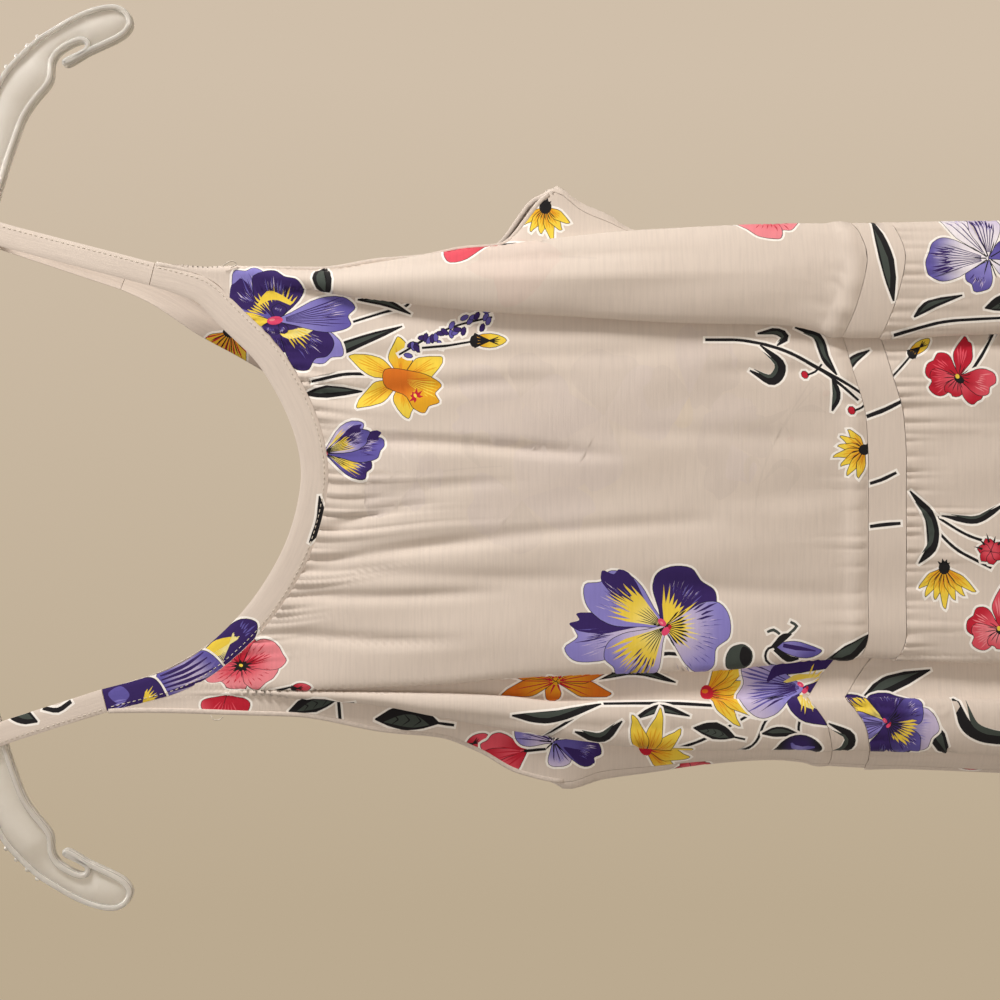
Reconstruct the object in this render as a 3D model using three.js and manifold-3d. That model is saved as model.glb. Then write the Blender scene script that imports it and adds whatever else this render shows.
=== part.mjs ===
// A sleeveless sundress hanging on a moulded plastic hanger.
// Millimetres, +Z up. The front faces -Y, and +X is on the viewer's right.
// The origin is the inside top of the hook, where a rod carries the hanger.

import * as THREE from 'three';
import Module from 'manifold-3d';
import { mergeVertices } from 'three/addons/utils/BufferGeometryUtils.js';

// Driving dimensions of the garment
const CLOTH = 1.5; // wall of the gathered panels
const BAND_CLOTH = 1.6; // wall of the waistband
const STRIP_CLOTH = 2; // wall of the folded neck strips and straps
const SEAM_GAP = 0.3; // between sewn pieces
const STRAP_WIDTH = 11;
const WAIST_Z = -545; // lowest point of the seam between bodice and waistband
const WAISTBAND_HEIGHT = 18;
const HEM_Z = -1200;
const UNDERARM_LEFT_Z = -402;
const UNDERARM_RIGHT_Z = -396;

// Heights at which a fold's depth is stated, and between which it begins to show
const BUST_Z = -370;
const SHOULDER_Z = -190;
const FIRST_FOLD = { z: -240, share: 0.15 }; // share of the bust's depth
const LAP_FROM_Z = -230;
const LAP_FULL_Z = -340;
const BACK_SEWN_Z = -384; // where the back's edge begins to meet the side seam

// Gathers: how far a ridge stands out, and how far below its seam it fades
const NECK_GATHER = { out: 0.9, fade: 17 };
const BACK_NECK_GATHER = { out: 0.8, fade: 15 };
const SKIRT_GATHER = { out: 1.1, fade: 28 };
const BLOUSE = { out: 2.6, height: 16 }; // the bodice's soft roll over the waistband
const NECK_HOLDS = 70; // how far below the neckline the seam's shape still pulls the cloth
const NECK_LEVEL = 25; // and how far below it the cloth's face is still turned by it
const SKIRT_EVEN = 5; // columns beside a side seam where the skirt's gathers grow
const SKIRT_STEEP = { from: 0.5, to: 4 }; // rise of the seam between columns over which they fade
const FRONT_STRIP_STEPS = 56;
const BACK_STRIP_STEPS = 48;

// A strap's middle where it bends over the hanger's arm: way in from its hanging stretch, height over the arm
const STRAP_BEND = [[0, -9], [0, -1], [0.1, 0.6], [1, 1.8], [2.6, 2.1]];
const STRAP_OVER = 2.15;

// Driving dimensions of the hanger
const HANGER_THICKNESS = 8;
const ARM_TOP_Z = -71;
const ARM_SLOPE = 0.29;
const ARM_DEPTH = 19;
const HOOK_RADIUS = 18; // inside
const HOOK_WIRE = 3.5; // radius
const HOOK_SIDES = 10;
const HOOK_STEPS = 40;
const HOOK_ARC = { from: -50, step: 17, points: 16 }; // degrees round the hook, from its stem
const STRAP_CROSSES = { left: -136.5, right: 112 };
const STEM_FOOT = 6; // how deep the hook's stem stands in the arms

// The neckline seams: x, y and z of the seam, from the left shoulder to the right, and the strip's width
const FRONT_NECK = [
  { x: -122.5, y: -8.5, z: -181, width: 11 },
  { x: -118, y: -8.8, z: -199, width: 11.3 },
  { x: -113, y: -9.2, z: -216, width: 12 },
  { x: -103, y: -10, z: -234, width: 12.6 },
  { x: -80, y: -11.5, z: -258.5, width: 13 },
  { x: -50, y: -12.8, z: -277.5, width: 13 },
  { x: -23.5, y: -13.4, z: -286, width: 13 },
  { x: -3, y: -13.5, z: -287.5, width: 13 },
  { x: 21.5, y: -13.2, z: -281.5, width: 13 },
  { x: 51.5, y: -12, z: -265, width: 13 },
  { x: 70.5, y: -11, z: -246.5, width: 13 },
  { x: 85, y: -10, z: -231, width: 12.5 },
  { x: 90, y: -9.4, z: -218, width: 12 },
  { x: 93.5, y: -9, z: -204, width: 11 },
];
const BACK_NECK = [
  { x: -123, y: 8, z: -183, width: 11 },
  { x: -115, y: 8.2, z: -210, width: 12 },
  { x: -101, y: 8.5, z: -236, width: 13 },
  { x: -82, y: 8.8, z: -258, width: 13 },
  { x: -60, y: 9, z: -276, width: 13 },
  { x: -36, y: 9.2, z: -287.5, width: 13 },
  { x: -10, y: 9.3, z: -292, width: 13 },
  { x: 14, y: 9.2, z: -289.5, width: 13 },
  { x: 35, y: 9, z: -279, width: 13 },
  { x: 51, y: 8.8, z: -264, width: 13 },
  { x: 61, y: 8.6, z: -248, width: 13 },
  { x: 70.5, y: 8.4, z: -230.5, width: 13 },
  { x: 86, y: 8.2, z: -205, width: 12 },
  { x: 93, y: 8, z: -188, width: 11 },
];

// Lines that run down the front, each a list of [height, x]
const FRONT_LINES = {
  leftEdge: [
    [-178, -124.5], [-225, -123.5], [-270, -124.5], [-316, -132.5], [-341, -135], [-360, -142],
    [-379, -152.5], [-402, -157], [-420, -151.5], [-445, -149], [-466, -147], [-504, -145.5],
    [-533, -148], [-610, -151], [-900, -160], [-1200, -170],
  ],
  leftTurn: [
    [-215, -114], [-255, -114], [-272, -116], [-314, -120], [-339, -126], [-378, -132.5],
    [-415, -138], [-440, -141], [-480, -142], [-540, -142], [-610, -144], [-1200, -150],
  ],
  leftStep: [
    [-218, -112.5], [-296, -112.5], [-376, -114.5], [-396, -116.5], [-530, -115], [-610, -115.5],
    [-1200, -118],
  ],
  leftFold: [
    [-221, -111], [-274, -112], [-296, -111.5], [-341, -109.5], [-384, -105.5], [-466, -102.5],
    [-543, -96.5], [-610, -99], [-1200, -102],
  ],
  rightFold: [
    [-235, 81], [-274, 80.5], [-297, 76.5], [-347, 70], [-396, 66.5], [-466, 63], [-506, 62], [-538, 56],
    [-610, 58], [-1200, 64],
  ],
  rightTurn: [
    [-229, 88], [-250, 90], [-282, 90.5], [-312, 94.5], [-352, 99.5], [-370, 101.5], [-396, 105],
    [-442, 109.5], [-528, 112], [-610, 113], [-900, 122], [-1200, 133],
  ],
  rightEdge: [
    [-204, 93.5], [-229, 89.5], [-250, 91.5], [-282, 92], [-312, 96], [-332, 97.5], [-352, 101.5],
    [-370, 103], [-396, 128.5], [-410, 119], [-423, 113.5], [-434, 109], [-466, 107.5], [-528, 109],
    [-610, 110], [-900, 118], [-1200, 129],
  ],
};

// How far in front of the hanger the front hangs, and behind it the back: [height, y]
const FRONT_DEPTH = [
  [-178, -8.5], [-235, -10.5], [-290, -13], [-345, -15.5], [-400, -17], [-466, -17.5], [-540, -16.5],
  [-610, -18], [-900, -22], [-1200, -25],
];
const BACK_DEPTH = [[-178, 8], [-290, 9.5], [-400, 9.5], [-545, 8], [-900, 12], [-1200, 15]];

// Folds of the front, from the left side seam to the right one. Each row gives:
// the two lines it lies between, and its share of the way from one to the other;
// over, how far it laps sideways; bust, waist and hem, how far back it lies there (less than 0 is forward);
// rise, the waist seam's height over its lowest point; seam, its place along the neckline;
// columns, the grid steps to the next fold.
const FRONT_FOLDS = [
  ['leftEdge', 'leftTurn', 0, 0, 12, 14, 22, 15.5, 0, 2],
  ['leftEdge', 'leftTurn', 0.5, 0, 10, 10, 10, 15, 16, 2],
  ['leftTurn', 'leftStep', 0, 3, 9, 6, 3, 15, 30, 2],
  ['leftTurn', 'leftStep', 0.05, 0, 4, 2, -5, 16, 33, 2],
  ['leftTurn', 'leftStep', 0.5, 0, -1, -3, -10, 19, 35, 3],
  ['leftTurn', 'leftStep', 1, 0, 1, -2, -4, 28, 37, 1],
  ['leftStep', 'leftFold', 0, -1, 5.5, 1, 6, 28, 39, 2],
  ['leftFold', 'rightFold', 0, 3, 4.5, 4, 7, 12, 42, 1],
  ['leftFold', 'rightFold', 0, 0, -0.5, -0.5, 0, 5, 44, 3],
  ['leftFold', 'rightFold', 0.08, 0, -3.5, -4, -9, 0, 60, 6],
  ['leftFold', 'rightFold', 0.22, 0, -3, -3, 5, 0, 92, 8],
  ['leftFold', 'rightFold', 0.35, 0, -4.2, -4, -11, 0, 122, 8],
  ['leftFold', 'rightFold', 0.48, 0, -3.2, -3.6, 4, 0, 150, 8],
  ['leftFold', 'rightFold', 0.61, 0, -4.4, -4, -9, 0, 178, 8],
  ['leftFold', 'rightFold', 0.75, 0, -3.2, -3.4, 5, 1, 210, 8],
  ['leftFold', 'rightFold', 0.9, 0, -2, -3, -4, 7, 246, 5],
  ['leftFold', 'rightFold', 1, 4, 1, 1, 2, 12, 270, 1],
  ['rightFold', 'rightTurn', 0, 0, -4, -4, -4, 12.5, 274, 2],
  ['rightFold', 'rightTurn', 0.3, 0, -8.5, -8, -12, 6, 284, 3],
  ['rightFold', 'rightTurn', 0.7, 0, -5, -6, -3, 1, 292, 3],
  ['rightFold', 'rightTurn', 1, 0, 4, 3, 2, 7, 298, 1],
  ['rightFold', 'rightTurn', 1, -2, 8, 8, 10, 11, 303, 2],
  ['rightEdge', 'rightTurn', 0, 0, 12, 13, 21, 16, 308, 0],
].map(([from, to, share, over, bust, waist, hem, rise, seam, columns]) => (
  { from, to, share, over, bust, waist, hem, rise, seam, columns }));

// Folds of the back, by their share of its width; the two ends are worked out from the front's edges.
const BACK_FOLDS = [
  { share: 0.07, bust: 0, waist: 1, hem: 2, rise: 14, seam: 14, columns: 3 },
  { share: 0.17, bust: 2, waist: 3, hem: 9, rise: 10, seam: 45, columns: 5 },
  { share: 0.28, bust: 0, waist: 0, hem: -5, rise: 4, seam: 82, columns: 7 },
  { share: 0.4, bust: 2, waist: 2.5, hem: 10, rise: 1, seam: 124, columns: 8 },
  { share: 0.52, bust: 0.5, waist: 0.5, hem: -4, rise: 0, seam: 164, columns: 8 },
  { share: 0.64, bust: 2.5, waist: 2.5, hem: 11, rise: 1, seam: 204, columns: 7 },
  { share: 0.76, bust: 0.5, waist: 0, hem: -5, rise: 5, seam: 244, columns: 5 },
  { share: 0.87, bust: 2, waist: 3, hem: 8, rise: 10, seam: 280, columns: 3 },
  { share: 0.95, bust: 0, waist: 1, hem: 2, rise: 14, seam: 304, columns: 0 },
];
const BACK_ARMHOLE = {
  left: [
    [-180, -123.5], [-225, -122.5], [-270, -123.5], [-341, -134.5], [-360, -142.5], [-379, -153.5],
    [-402, -158],
  ],
  right: [[-188, 93], [-230, 88.5], [-280, 90], [-330, 95], [-366, 102.5], [-392, 130], [-402, 126]],
};
const BACK_SEAM_LENGTH = 318; // the neckline length in which the back folds' places are given
const BACK_EDGE_COLUMNS = [1, 1, 2]; // from the side seam round the turn to the first fold
// How much of the back's cloth is seen from the front, beside the side seam
const WRAP = [[-390, 2], [-402, 3], [-420, 4], [-450, 3.5], [-500, 2.2], [-1200, 3]];
const TURN_RADIUS = 1.8; // of the back's cloth where it turns round the side
const TURN_SHIFT = 0.6;
// Ways in from the armhole's edge of the back's first three points, and how far back each next one lies
const ARMHOLE_EDGE = { in: [0, 2, 5], back: 0.8, forward: 3.5 };

// Rows of the bodice from the neckline to the underarm and on to the waist, as shares of each stretch
const UPPER_ROWS = [0, 0.06, 0.15, 0.3, 0.48, 0.66, 0.85, 1];
const LOWER_ROWS = [0.3, 0.65, 0.9, 0.97, 1];
const BACK_UPPER_ROWS = [0, 0.08, 0.25, 0.55, 0.85, 1];
const BACK_LOWER_ROWS = [0.4, 0.88, 1];
const SKIRT_ROWS = [0, 0.02, 0.06, 0.15, 0.35, 0.58, 0.8, 1];

const COLOURS = {
  cloth: new THREE.MeshStandardMaterial({ color: 0xe9ddcb, roughness: 0.85, metalness: 0 }),
  strip: new THREE.MeshStandardMaterial({ color: 0xeee3d3, roughness: 0.8, metalness: 0 }),
  plastic: new THREE.MeshStandardMaterial({ color: 0xdcd3c4, roughness: 0.3, metalness: 0 }),
};

/** Eases from 0 to 1 as value goes from start to end. */
function ease(start, end, value) {
  return THREE.MathUtils.smoothstep((value - start) / (end - start), 0, 1);
}

/** A smooth curve through rows of [position, value] that never overshoots them. */
function track(rows) {
  const sorted = [...rows].sort((a, b) => a[0] - b[0]);
  const slopes = sorted.slice(1).map((row, i) => (row[1] - sorted[i][1]) / (row[0] - sorted[i][0]));
  const tangents = sorted.map((_, i) => {
    const before = slopes[Math.max(i - 1, 0)];
    const after = slopes[Math.min(i, slopes.length - 1)];
    return before * after <= 0 ? 0 : (2 * before * after) / (before + after);
  });
  return (position) => {
    const last = sorted.length - 1;
    if (position <= sorted[0][0]) return sorted[0][1];
    if (position >= sorted[last][0]) return sorted[last][1];
    const i = sorted.findIndex((row) => row[0] > position) - 1;
    const span = sorted[i + 1][0] - sorted[i][0];
    const t = (position - sorted[i][0]) / span;
    const h = t * t * (3 - 2 * t);
    const rise = span * t * (1 - t) * (tangents[i] * (1 - t) - tangents[i + 1] * t);
    return sorted[i][1] * (1 - h) + sorted[i + 1][1] * h + rise;
  };
}

/** The grid columns of a row of folds: which fold each lies after, and how far on. */
function columnsOf(counts) {
  const columns = counts.flatMap((count, fold) =>
    Array.from({ length: count }, (_, step) => ({ fold, share: step / count })));
  return [...columns, { fold: counts.length - 1, share: 1 }].map((column, index) => ({ ...column, index }));
}

/** Turns one value of each fold into a smooth curve along the grid's columns. */
function alongColumns(values, counts) {
  let index = 0;
  const rows = values.map((value, i) => {
    const row = [index, value];
    index += counts[i] ?? 0;
    return row;
  });
  return track(rows);
}

/** Point and outward direction of a section, given its fold points and a column. */
function onSection(points, column, outward) {
  const curve = new THREE.CatmullRomCurve3(points, false, 'centripetal');
  const at = (column.fold + column.share) / (points.length - 1);
  const point = curve.getPoint(at);
  const step = 0.1 / (points.length - 1);
  const along = curve.getPoint(Math.min(at + step, 1)).sub(curve.getPoint(Math.max(at - step, 0)));
  const normal = new THREE.Vector3(outward * along.y, -outward * along.x, 0).normalize();
  return { point, normal };
}

/** A closed wall from a grid of { point, normal }, thick half each way from the points. */
function wall(grid, thickness) {
  const rows = grid.length;
  const columns = grid[0].length;
  const positions = [];
  for (const side of [1, -1]) {
    for (const { point, normal } of grid.flat()) {
      positions.push(...point.clone().addScaledVector(normal, (side * thickness) / 2).toArray());
    }
  }
  const at = (side, row, column) => side * rows * columns + row * columns + column;
  const index = [];
  const quad = (a, b, c, d) => index.push(a, b, c, a, c, d);
  for (let row = 0; row < rows - 1; row += 1) {
    for (let column = 0; column < columns - 1; column += 1) {
      quad(at(0, row, column), at(0, row + 1, column), at(0, row + 1, column + 1), at(0, row, column + 1));
      quad(at(1, row, column), at(1, row, column + 1), at(1, row + 1, column + 1), at(1, row + 1, column));
    }
  }
  for (let row = 0; row < rows - 1; row += 1) {
    const last = columns - 1;
    quad(at(0, row, 0), at(1, row, 0), at(1, row + 1, 0), at(0, row + 1, 0));
    quad(at(0, row, last), at(0, row + 1, last), at(1, row + 1, last), at(1, row, last));
  }
  for (let column = 0; column < columns - 1; column += 1) {
    const last = rows - 1;
    quad(at(0, 0, column), at(0, 0, column + 1), at(1, 0, column + 1), at(1, 0, column));
    quad(at(0, last, column), at(1, last, column), at(1, last, column + 1), at(0, last, column + 1));
  }
  const geometry = new THREE.BufferGeometry();
  geometry.setAttribute('position', new THREE.Float32BufferAttribute(positions, 3));
  geometry.setIndex(volume(positions, index) < 0 ? index.reverse() : index);
  geometry.computeVertexNormals();
  return geometry;
}

/** Signed volume of a closed mesh. */
function volume(positions, index) {
  const corner = (i) => new THREE.Vector3().fromArray(positions, index[i] * 3);
  let sum = 0;
  for (let i = 0; i < index.length; i += 3) sum += corner(i).dot(corner(i + 1).cross(corner(i + 2))) / 6;
  return sum;
}

const group = new THREE.Group();

/** Adds a named piece to the garment. */
function add(name, geometry, material) {
  const mesh = new THREE.Mesh(geometry, material);
  mesh.name = name;
  group.add(mesh);
}

/** A neckline seam: its point, the way to the opening and the strip's width, by length from its left end. */
function neckline(rows) {
  const points = rows.map(({ x, y, z }) => new THREE.Vector3(x, y, z));
  const curve = new THREE.CatmullRomCurve3(points, false, 'centripetal');
  curve.arcLengthDivisions = 400;
  const length = curve.getLength();
  const width = track(rows.map((row, i) => [i / (rows.length - 1), row.width]));
  return {
    length,
    at(distance) {
      const share = THREE.MathUtils.clamp(distance / length, 0, 1);
      const point = curve.getPointAt(share);
      const along = curve.getTangentAt(share);
      const inward = new THREE.Vector3(-along.z, 0, along.x).normalize();
      return { point, along, inward, width: width(curve.getUtoTmapping(share)) };
    },
  };
}

const frontNeck = neckline(FRONT_NECK);
const backNeck = neckline(BACK_NECK);

const frontLines = Object.fromEntries(Object.entries(FRONT_LINES).map(([name, rows]) => [name, track(rows)]));
const frontDepth = track(FRONT_DEPTH);
const backDepth = track(BACK_DEPTH);
const frontCounts = FRONT_FOLDS.map((fold) => fold.columns);
const frontColumns = columnsOf(frontCounts.slice(0, -1));

/** How far back a fold lies at a height: nothing at the shoulders, then bust, waist and hem. */
function foldDepth(fold) {
  return track([
    [SHOULDER_Z, 0],
    [FIRST_FOLD.z, fold.bust * FIRST_FOLD.share],
    [BUST_Z, fold.bust],
    [WAIST_Z, fold.waist],
    [HEM_Z, fold.hem],
  ]);
}

const frontFolds = FRONT_FOLDS.map((fold) => ({ ...fold, depth: foldDepth(fold) }));

/** The fold points of the front's section at a height. */
function frontSection(z) {
  const grown = ease(LAP_FROM_Z, LAP_FULL_Z, z);
  return frontFolds.map((fold) => {
    const x = THREE.MathUtils.lerp(frontLines[fold.from](z), frontLines[fold.to](z), fold.share);
    return new THREE.Vector3(x + fold.over * grown, frontDepth(z) + fold.depth(z), 0);
  });
}

/** The side seam at a height: its point and the level direction from it into the front. */
function sideSeam(z, side) {
  const section = frontSection(z);
  const ends = side === 'left' ? [section[0], section[1]] : [section.at(-1), section.at(-2)];
  return { point: ends[0], inward: ends[1].clone().sub(ends[0]).normalize() };
}

/** Point and direction on the front at a column and height, before its ends are trimmed for the seam. */
function frontAt(column, z) {
  const points = frontSection(z);
  points[0].addScaledVector(points[1].clone().sub(points[0]).normalize(), SEAM_GAP / 2);
  points.at(-1).addScaledVector(points.at(-2).clone().sub(points.at(-1)).normalize(), SEAM_GAP / 2);
  const found = onSection(points, column, 1);
  found.point.z = z;
  return found;
}

const backDepths = BACK_FOLDS.map(foldDepth);
const backArmhole = { left: track(BACK_ARMHOLE.left), right: track(BACK_ARMHOLE.right) };
const wrap = track(WRAP);
const backCounts = [
  ...BACK_EDGE_COLUMNS,
  ...BACK_FOLDS.slice(0, -1).map((fold) => fold.columns),
  ...[...BACK_EDGE_COLUMNS].reverse(),
];
const backColumns = columnsOf(backCounts);

/** Three points at one end of the back's section: free at the armhole, sewn and turned below it. */
function backEnd(z, side) {
  const toMiddle = side === 'left' ? 1 : -1;
  const sewn = ease(BACK_SEWN_Z, side === 'left' ? UNDERARM_LEFT_Z : UNDERARM_RIGHT_Z, z);
  const free = new THREE.Vector3(backArmhole[side](z), backDepth(z) - ARMHOLE_EDGE.forward, 0);
  const freePoints = ARMHOLE_EDGE.in.map((x, i) =>
    free.clone().add(new THREE.Vector3(x * toMiddle, i * ARMHOLE_EDGE.back, 0)));
  const { point, inward } = sideSeam(z, side);
  const turned = point.clone().addScaledVector(inward, -wrap(z));
  const seamPoints = [
    point.clone().addScaledVector(inward, -SEAM_GAP / 2),
    turned,
    turned.clone().add(new THREE.Vector3(-TURN_SHIFT * toMiddle, 2 * TURN_RADIUS, 0)),
  ];
  return freePoints.map((from, i) => from.lerp(seamPoints[i], sewn));
}

/** The fold points of the back's section at a height. */
function backSection(z) {
  const left = backEnd(z, 'left');
  const right = backEnd(z, 'right').reverse();
  const folds = BACK_FOLDS.map((fold, i) => {
    const x = THREE.MathUtils.lerp(left[2].x, right[0].x, fold.share);
    return new THREE.Vector3(x, backDepth(z) + backDepths[i](z), 0);
  });
  return [...left, ...folds, ...right];
}

/** Point and direction on the back at a column and height. */
function backAt(column, z) {
  const found = onSection(backSection(z), column, -1);
  found.point.z = z;
  return found;
}

/** A value for each of the back's section points: the folds' own, and the seam's at both ends. */
function backValues(name, leftEnd, rightEnd) {
  return [...leftEnd, ...BACK_FOLDS.map((fold) => fold[name]), ...rightEnd];
}

const FRONT = {
  columns: frontColumns,
  at: frontAt,
  neck: frontNeck,
  seam: alongColumns(
    FRONT_FOLDS.map((fold) => fold.seam * (frontNeck.length / FRONT_FOLDS.at(-1).seam)),
    frontCounts,
  ),
  rise: alongColumns(FRONT_FOLDS.map((fold) => fold.rise), frontCounts),
  gathered: (x) => ease(-106, -84, x) * (1 - ease(58, 72, x)),
  neckGather: NECK_GATHER,
};
const leftRise = FRONT_FOLDS[0].rise;
const rightRise = FRONT_FOLDS.at(-1).rise;
const BACK = {
  columns: backColumns,
  at: backAt,
  neck: backNeck,
  seam: alongColumns(
    backValues('seam', [0, 3, 7], [311, 315, BACK_SEAM_LENGTH])
      .map((value) => value * (backNeck.length / BACK_SEAM_LENGTH)),
    backCounts,
  ),
  rise: alongColumns(
    backValues('rise', [leftRise, leftRise, leftRise], [rightRise, rightRise, rightRise]),
    backCounts,
  ),
  gathered: (x) => ease(-95, -70, x) * (1 - ease(45, 65, x)),
  neckGather: BACK_NECK_GATHER,
};

/** A ridge on every second column, of a given strength, fading away from its seam. */
function gather(column, strength, below, { out, fade }) {
  const side = column.index % 2 === 0 ? 1 : -1;
  return side * out * strength * Math.exp(-((below / fade) ** 1.5));
}

/** Height of the seam between bodice and waistband at a column. */
function waistHeight(panel, column) {
  return WAIST_Z + panel.rise(column.index);
}

/** One half of the bodice: its top edge follows the neckline seam, and each column runs down to the waist. */
function bodice(panel, upperRows, lowerRows) {
  const last = panel.columns.at(-1).index;
  const shares = [
    ...upperRows.map((share) => ({ upper: share, lower: 0 })),
    ...lowerRows.map((share) => ({ upper: 1, lower: share })),
  ];
  const grid = shares.map(({ upper, lower }) => panel.columns.map((column) => {
    const seam = panel.neck.at(panel.seam(column.index));
    const top = seam.point.clone().addScaledVector(seam.inward, -SEAM_GAP / 2);
    const across = column.index / last;
    const underarm = THREE.MathUtils.lerp(UNDERARM_LEFT_Z, UNDERARM_RIGHT_Z, across);
    const waist = waistHeight(panel, column) + SEAM_GAP / 2;
    const z = top.z + (underarm - top.z) * upper + (waist - underarm) * lower;
    const below = top.z - z;
    const { point, normal } = panel.at(column, z);
    const start = panel.at(column, top.z).point;
    const held = 1 - ease(0, NECK_HOLDS, below);
    point.addScaledVector(top.clone().sub(start).setZ(0), held);
    const level = 1 - ease(0, NECK_LEVEL, below);
    normal.lerp(new THREE.Vector3(0, Math.sign(normal.y) || -1, 0), level).normalize();
    const roll = BLOUSE.out * Math.sin(Math.PI * THREE.MathUtils.clamp((z - waist) / BLOUSE.height, 0, 1));
    const ridge = gather(column, panel.gathered(top.x), below, panel.neckGather);
    point.addScaledVector(normal, ridge + roll);
    return { point, normal };
  }));
  return wall(grid, CLOTH);
}

/** One half of the waistband, level with the seams above and below it. */
function waistband(panel) {
  const grid = [SEAM_GAP / 2, WAISTBAND_HEIGHT - SEAM_GAP / 2].map((drop) =>
    panel.columns.map((column) => panel.at(column, waistHeight(panel, column) - drop)));
  return wall(grid, BAND_CLOTH);
}

/** One half of the skirt, gathered at the top, its folds growing down to the hem. */
function skirt(panel) {
  const last = panel.columns.at(-1).index;
  const grid = SKIRT_ROWS.map((share) => panel.columns.map((column) => {
    const top = waistHeight(panel, column) - WAISTBAND_HEIGHT - SEAM_GAP / 2;
    const z = THREE.MathUtils.lerp(top, HEM_Z, share);
    const { point, normal } = panel.at(column, z);
    const inside = ease(0, SKIRT_EVEN, column.index) * ease(0, SKIRT_EVEN, last - column.index);
    const slope = Math.abs(panel.rise(column.index + 1) - panel.rise(column.index - 1));
    const strength = inside * (1 - ease(SKIRT_STEEP.from, SKIRT_STEEP.to, slope));
    point.addScaledVector(normal, gather(column, strength, top - z, SKIRT_GATHER));
    return { point, normal };
  }));
  return wall(grid, CLOTH);
}

/** The folded strip sewn along a neckline; outward is -1 at the front and 1 at the back. */
function neckStrip(neck, outward, steps) {
  const normal = new THREE.Vector3(0, outward, 0);
  const rows = Array.from({ length: steps + 1 }, (_, i) => {
    const { point, inward, width } = neck.at((neck.length * i) / steps);
    return [SEAM_GAP / 2, width].map((across) => (
      { point: point.clone().addScaledVector(inward, across), normal }));
  });
  return wall(rows, STRIP_CLOTH);
}

/** Height of the hanger arm's top edge at a distance from its middle. */
function armTop(x) {
  return ARM_TOP_Z - ARM_SLOPE * Math.abs(x);
}

/** One end of a strap, just past a neck strip's end: its middle and its width's direction. */
function strapEnd(neck, side) {
  const { point, along, inward } = neck.at(side === 'left' ? 0 : neck.length);
  const away = along.clone().multiplyScalar(side === 'left' ? -1 : 1);
  const middle = point.clone().addScaledVector(inward, (STRAP_WIDTH + SEAM_GAP / 2) / 2);
  return { middle: middle.addScaledVector(away, SEAM_GAP), inward };
}

/** A strap from the front strip over the hanger's arm to the back strip. */
function strap(side) {
  const front = strapEnd(frontNeck, side);
  const back = strapEnd(backNeck, side);
  const crossing = STRAP_CROSSES[side];
  const top = armTop(crossing);
  const toMiddle = side === 'left' ? 1 : -1;
  const alongArm = new THREE.Vector3(toMiddle, 0, ARM_SLOPE).normalize();
  const clear = HANGER_THICKNESS / 2 + STRIP_CLOTH / 2 + SEAM_GAP;
  const rising = STRAP_BEND.map(([inward, height]) => [inward - clear, height]);
  const over = [...rising, [0, STRAP_OVER], ...rising.map(([y, height]) => [-y, height]).reverse()];
  const run = (end) => [0, 0.25, 0.5, 0.75].map((share) => {
    const x = THREE.MathUtils.lerp(end.middle.x, crossing, share);
    const z = THREE.MathUtils.lerp(end.middle.z, top + STRAP_BEND[0][1], share);
    const y = THREE.MathUtils.lerp(end.middle.y, Math.sign(end.middle.y) * clear, ease(0, 0.8, share));
    const across = end.inward.clone().lerp(alongArm, share).normalize();
    return { middle: new THREE.Vector3(x, y, z), across };
  });
  const bend = over.map(([y, height]) => (
    { middle: new THREE.Vector3(crossing, y, top + height), across: alongArm }));
  const path = [...run(front), ...bend, ...run(back).reverse()];
  const rows = path.map(({ middle, across }, i) => {
    const ahead = path[Math.min(i + 1, path.length - 1)].middle.clone().sub(path[Math.max(i - 1, 0)].middle);
    const normal = ahead.cross(across).normalize();
    return [-0.5, 0.5].map((share) => (
      { point: middle.clone().addScaledVector(across, share * STRAP_WIDTH), normal }));
  });
  return wall(rows, STRIP_CLOTH);
}

/** Half of the hanger's outline, from the middle of its top round the tip to the middle of its lower edge. */
const HANGER_OUTLINE = [
  [7, ARM_TOP_Z + 3], [12, armTop(12)], [60, armTop(60)], [120, armTop(120)], [150, armTop(150)],
  [165, -119.2], [176, -122.8], [184.3, -126.8], [189.7, -130.5], [195, -135.4], [204.3, -145.6],
  [209.2, -153.4], [214, -161.6], [217.9, -170.4], [220, -179.2], [219.6, -185], [216, -189.9],
  [210.6, -191.6], [205.8, -188.9], [202.4, -184], [199.4, -177.7], [196, -170.4], [190, -159.2],
  [191, -157.6], [193, -157.6], [197.6, -166], [199.4, -168.4], [201, -168.4], [201.6, -166.2],
  [196.6, -156.6], [192.1, -153.6], [182.8, -152.4], [172.6, -144.6], [165.3, -139.7], [153.2, -135],
  [140, armTop(140) - ARM_DEPTH], [60, armTop(60) - ARM_DEPTH], [12, armTop(12) - ARM_DEPTH],
  [0, ARM_TOP_Z - ARM_DEPTH - 2],
];

/** Joins closed meshes into one solid. */
async function union(geometries) {
  const wasm = await Module();
  wasm.setup();
  const solids = geometries.map((source) => {
    const bare = source.clone();
    bare.deleteAttribute('normal');
    bare.deleteAttribute('uv');
    const merged = mergeVertices(bare, 1e-4);
    return new wasm.Manifold(new wasm.Mesh({
      numProp: 3,
      vertProperties: Float32Array.from(merged.attributes.position.array),
      triVerts: Uint32Array.from(merged.index.array),
    }));
  });
  const mesh = solids.reduce((joined, solid) => joined.add(solid)).getMesh();
  const geometry = new THREE.BufferGeometry();
  geometry.setAttribute('position', new THREE.BufferAttribute(Float32Array.from(mesh.vertProperties), 3));
  geometry.setIndex(new THREE.BufferAttribute(Uint32Array.from(mesh.triVerts), 1));
  geometry.computeVertexNormals();
  return geometry;
}

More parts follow.
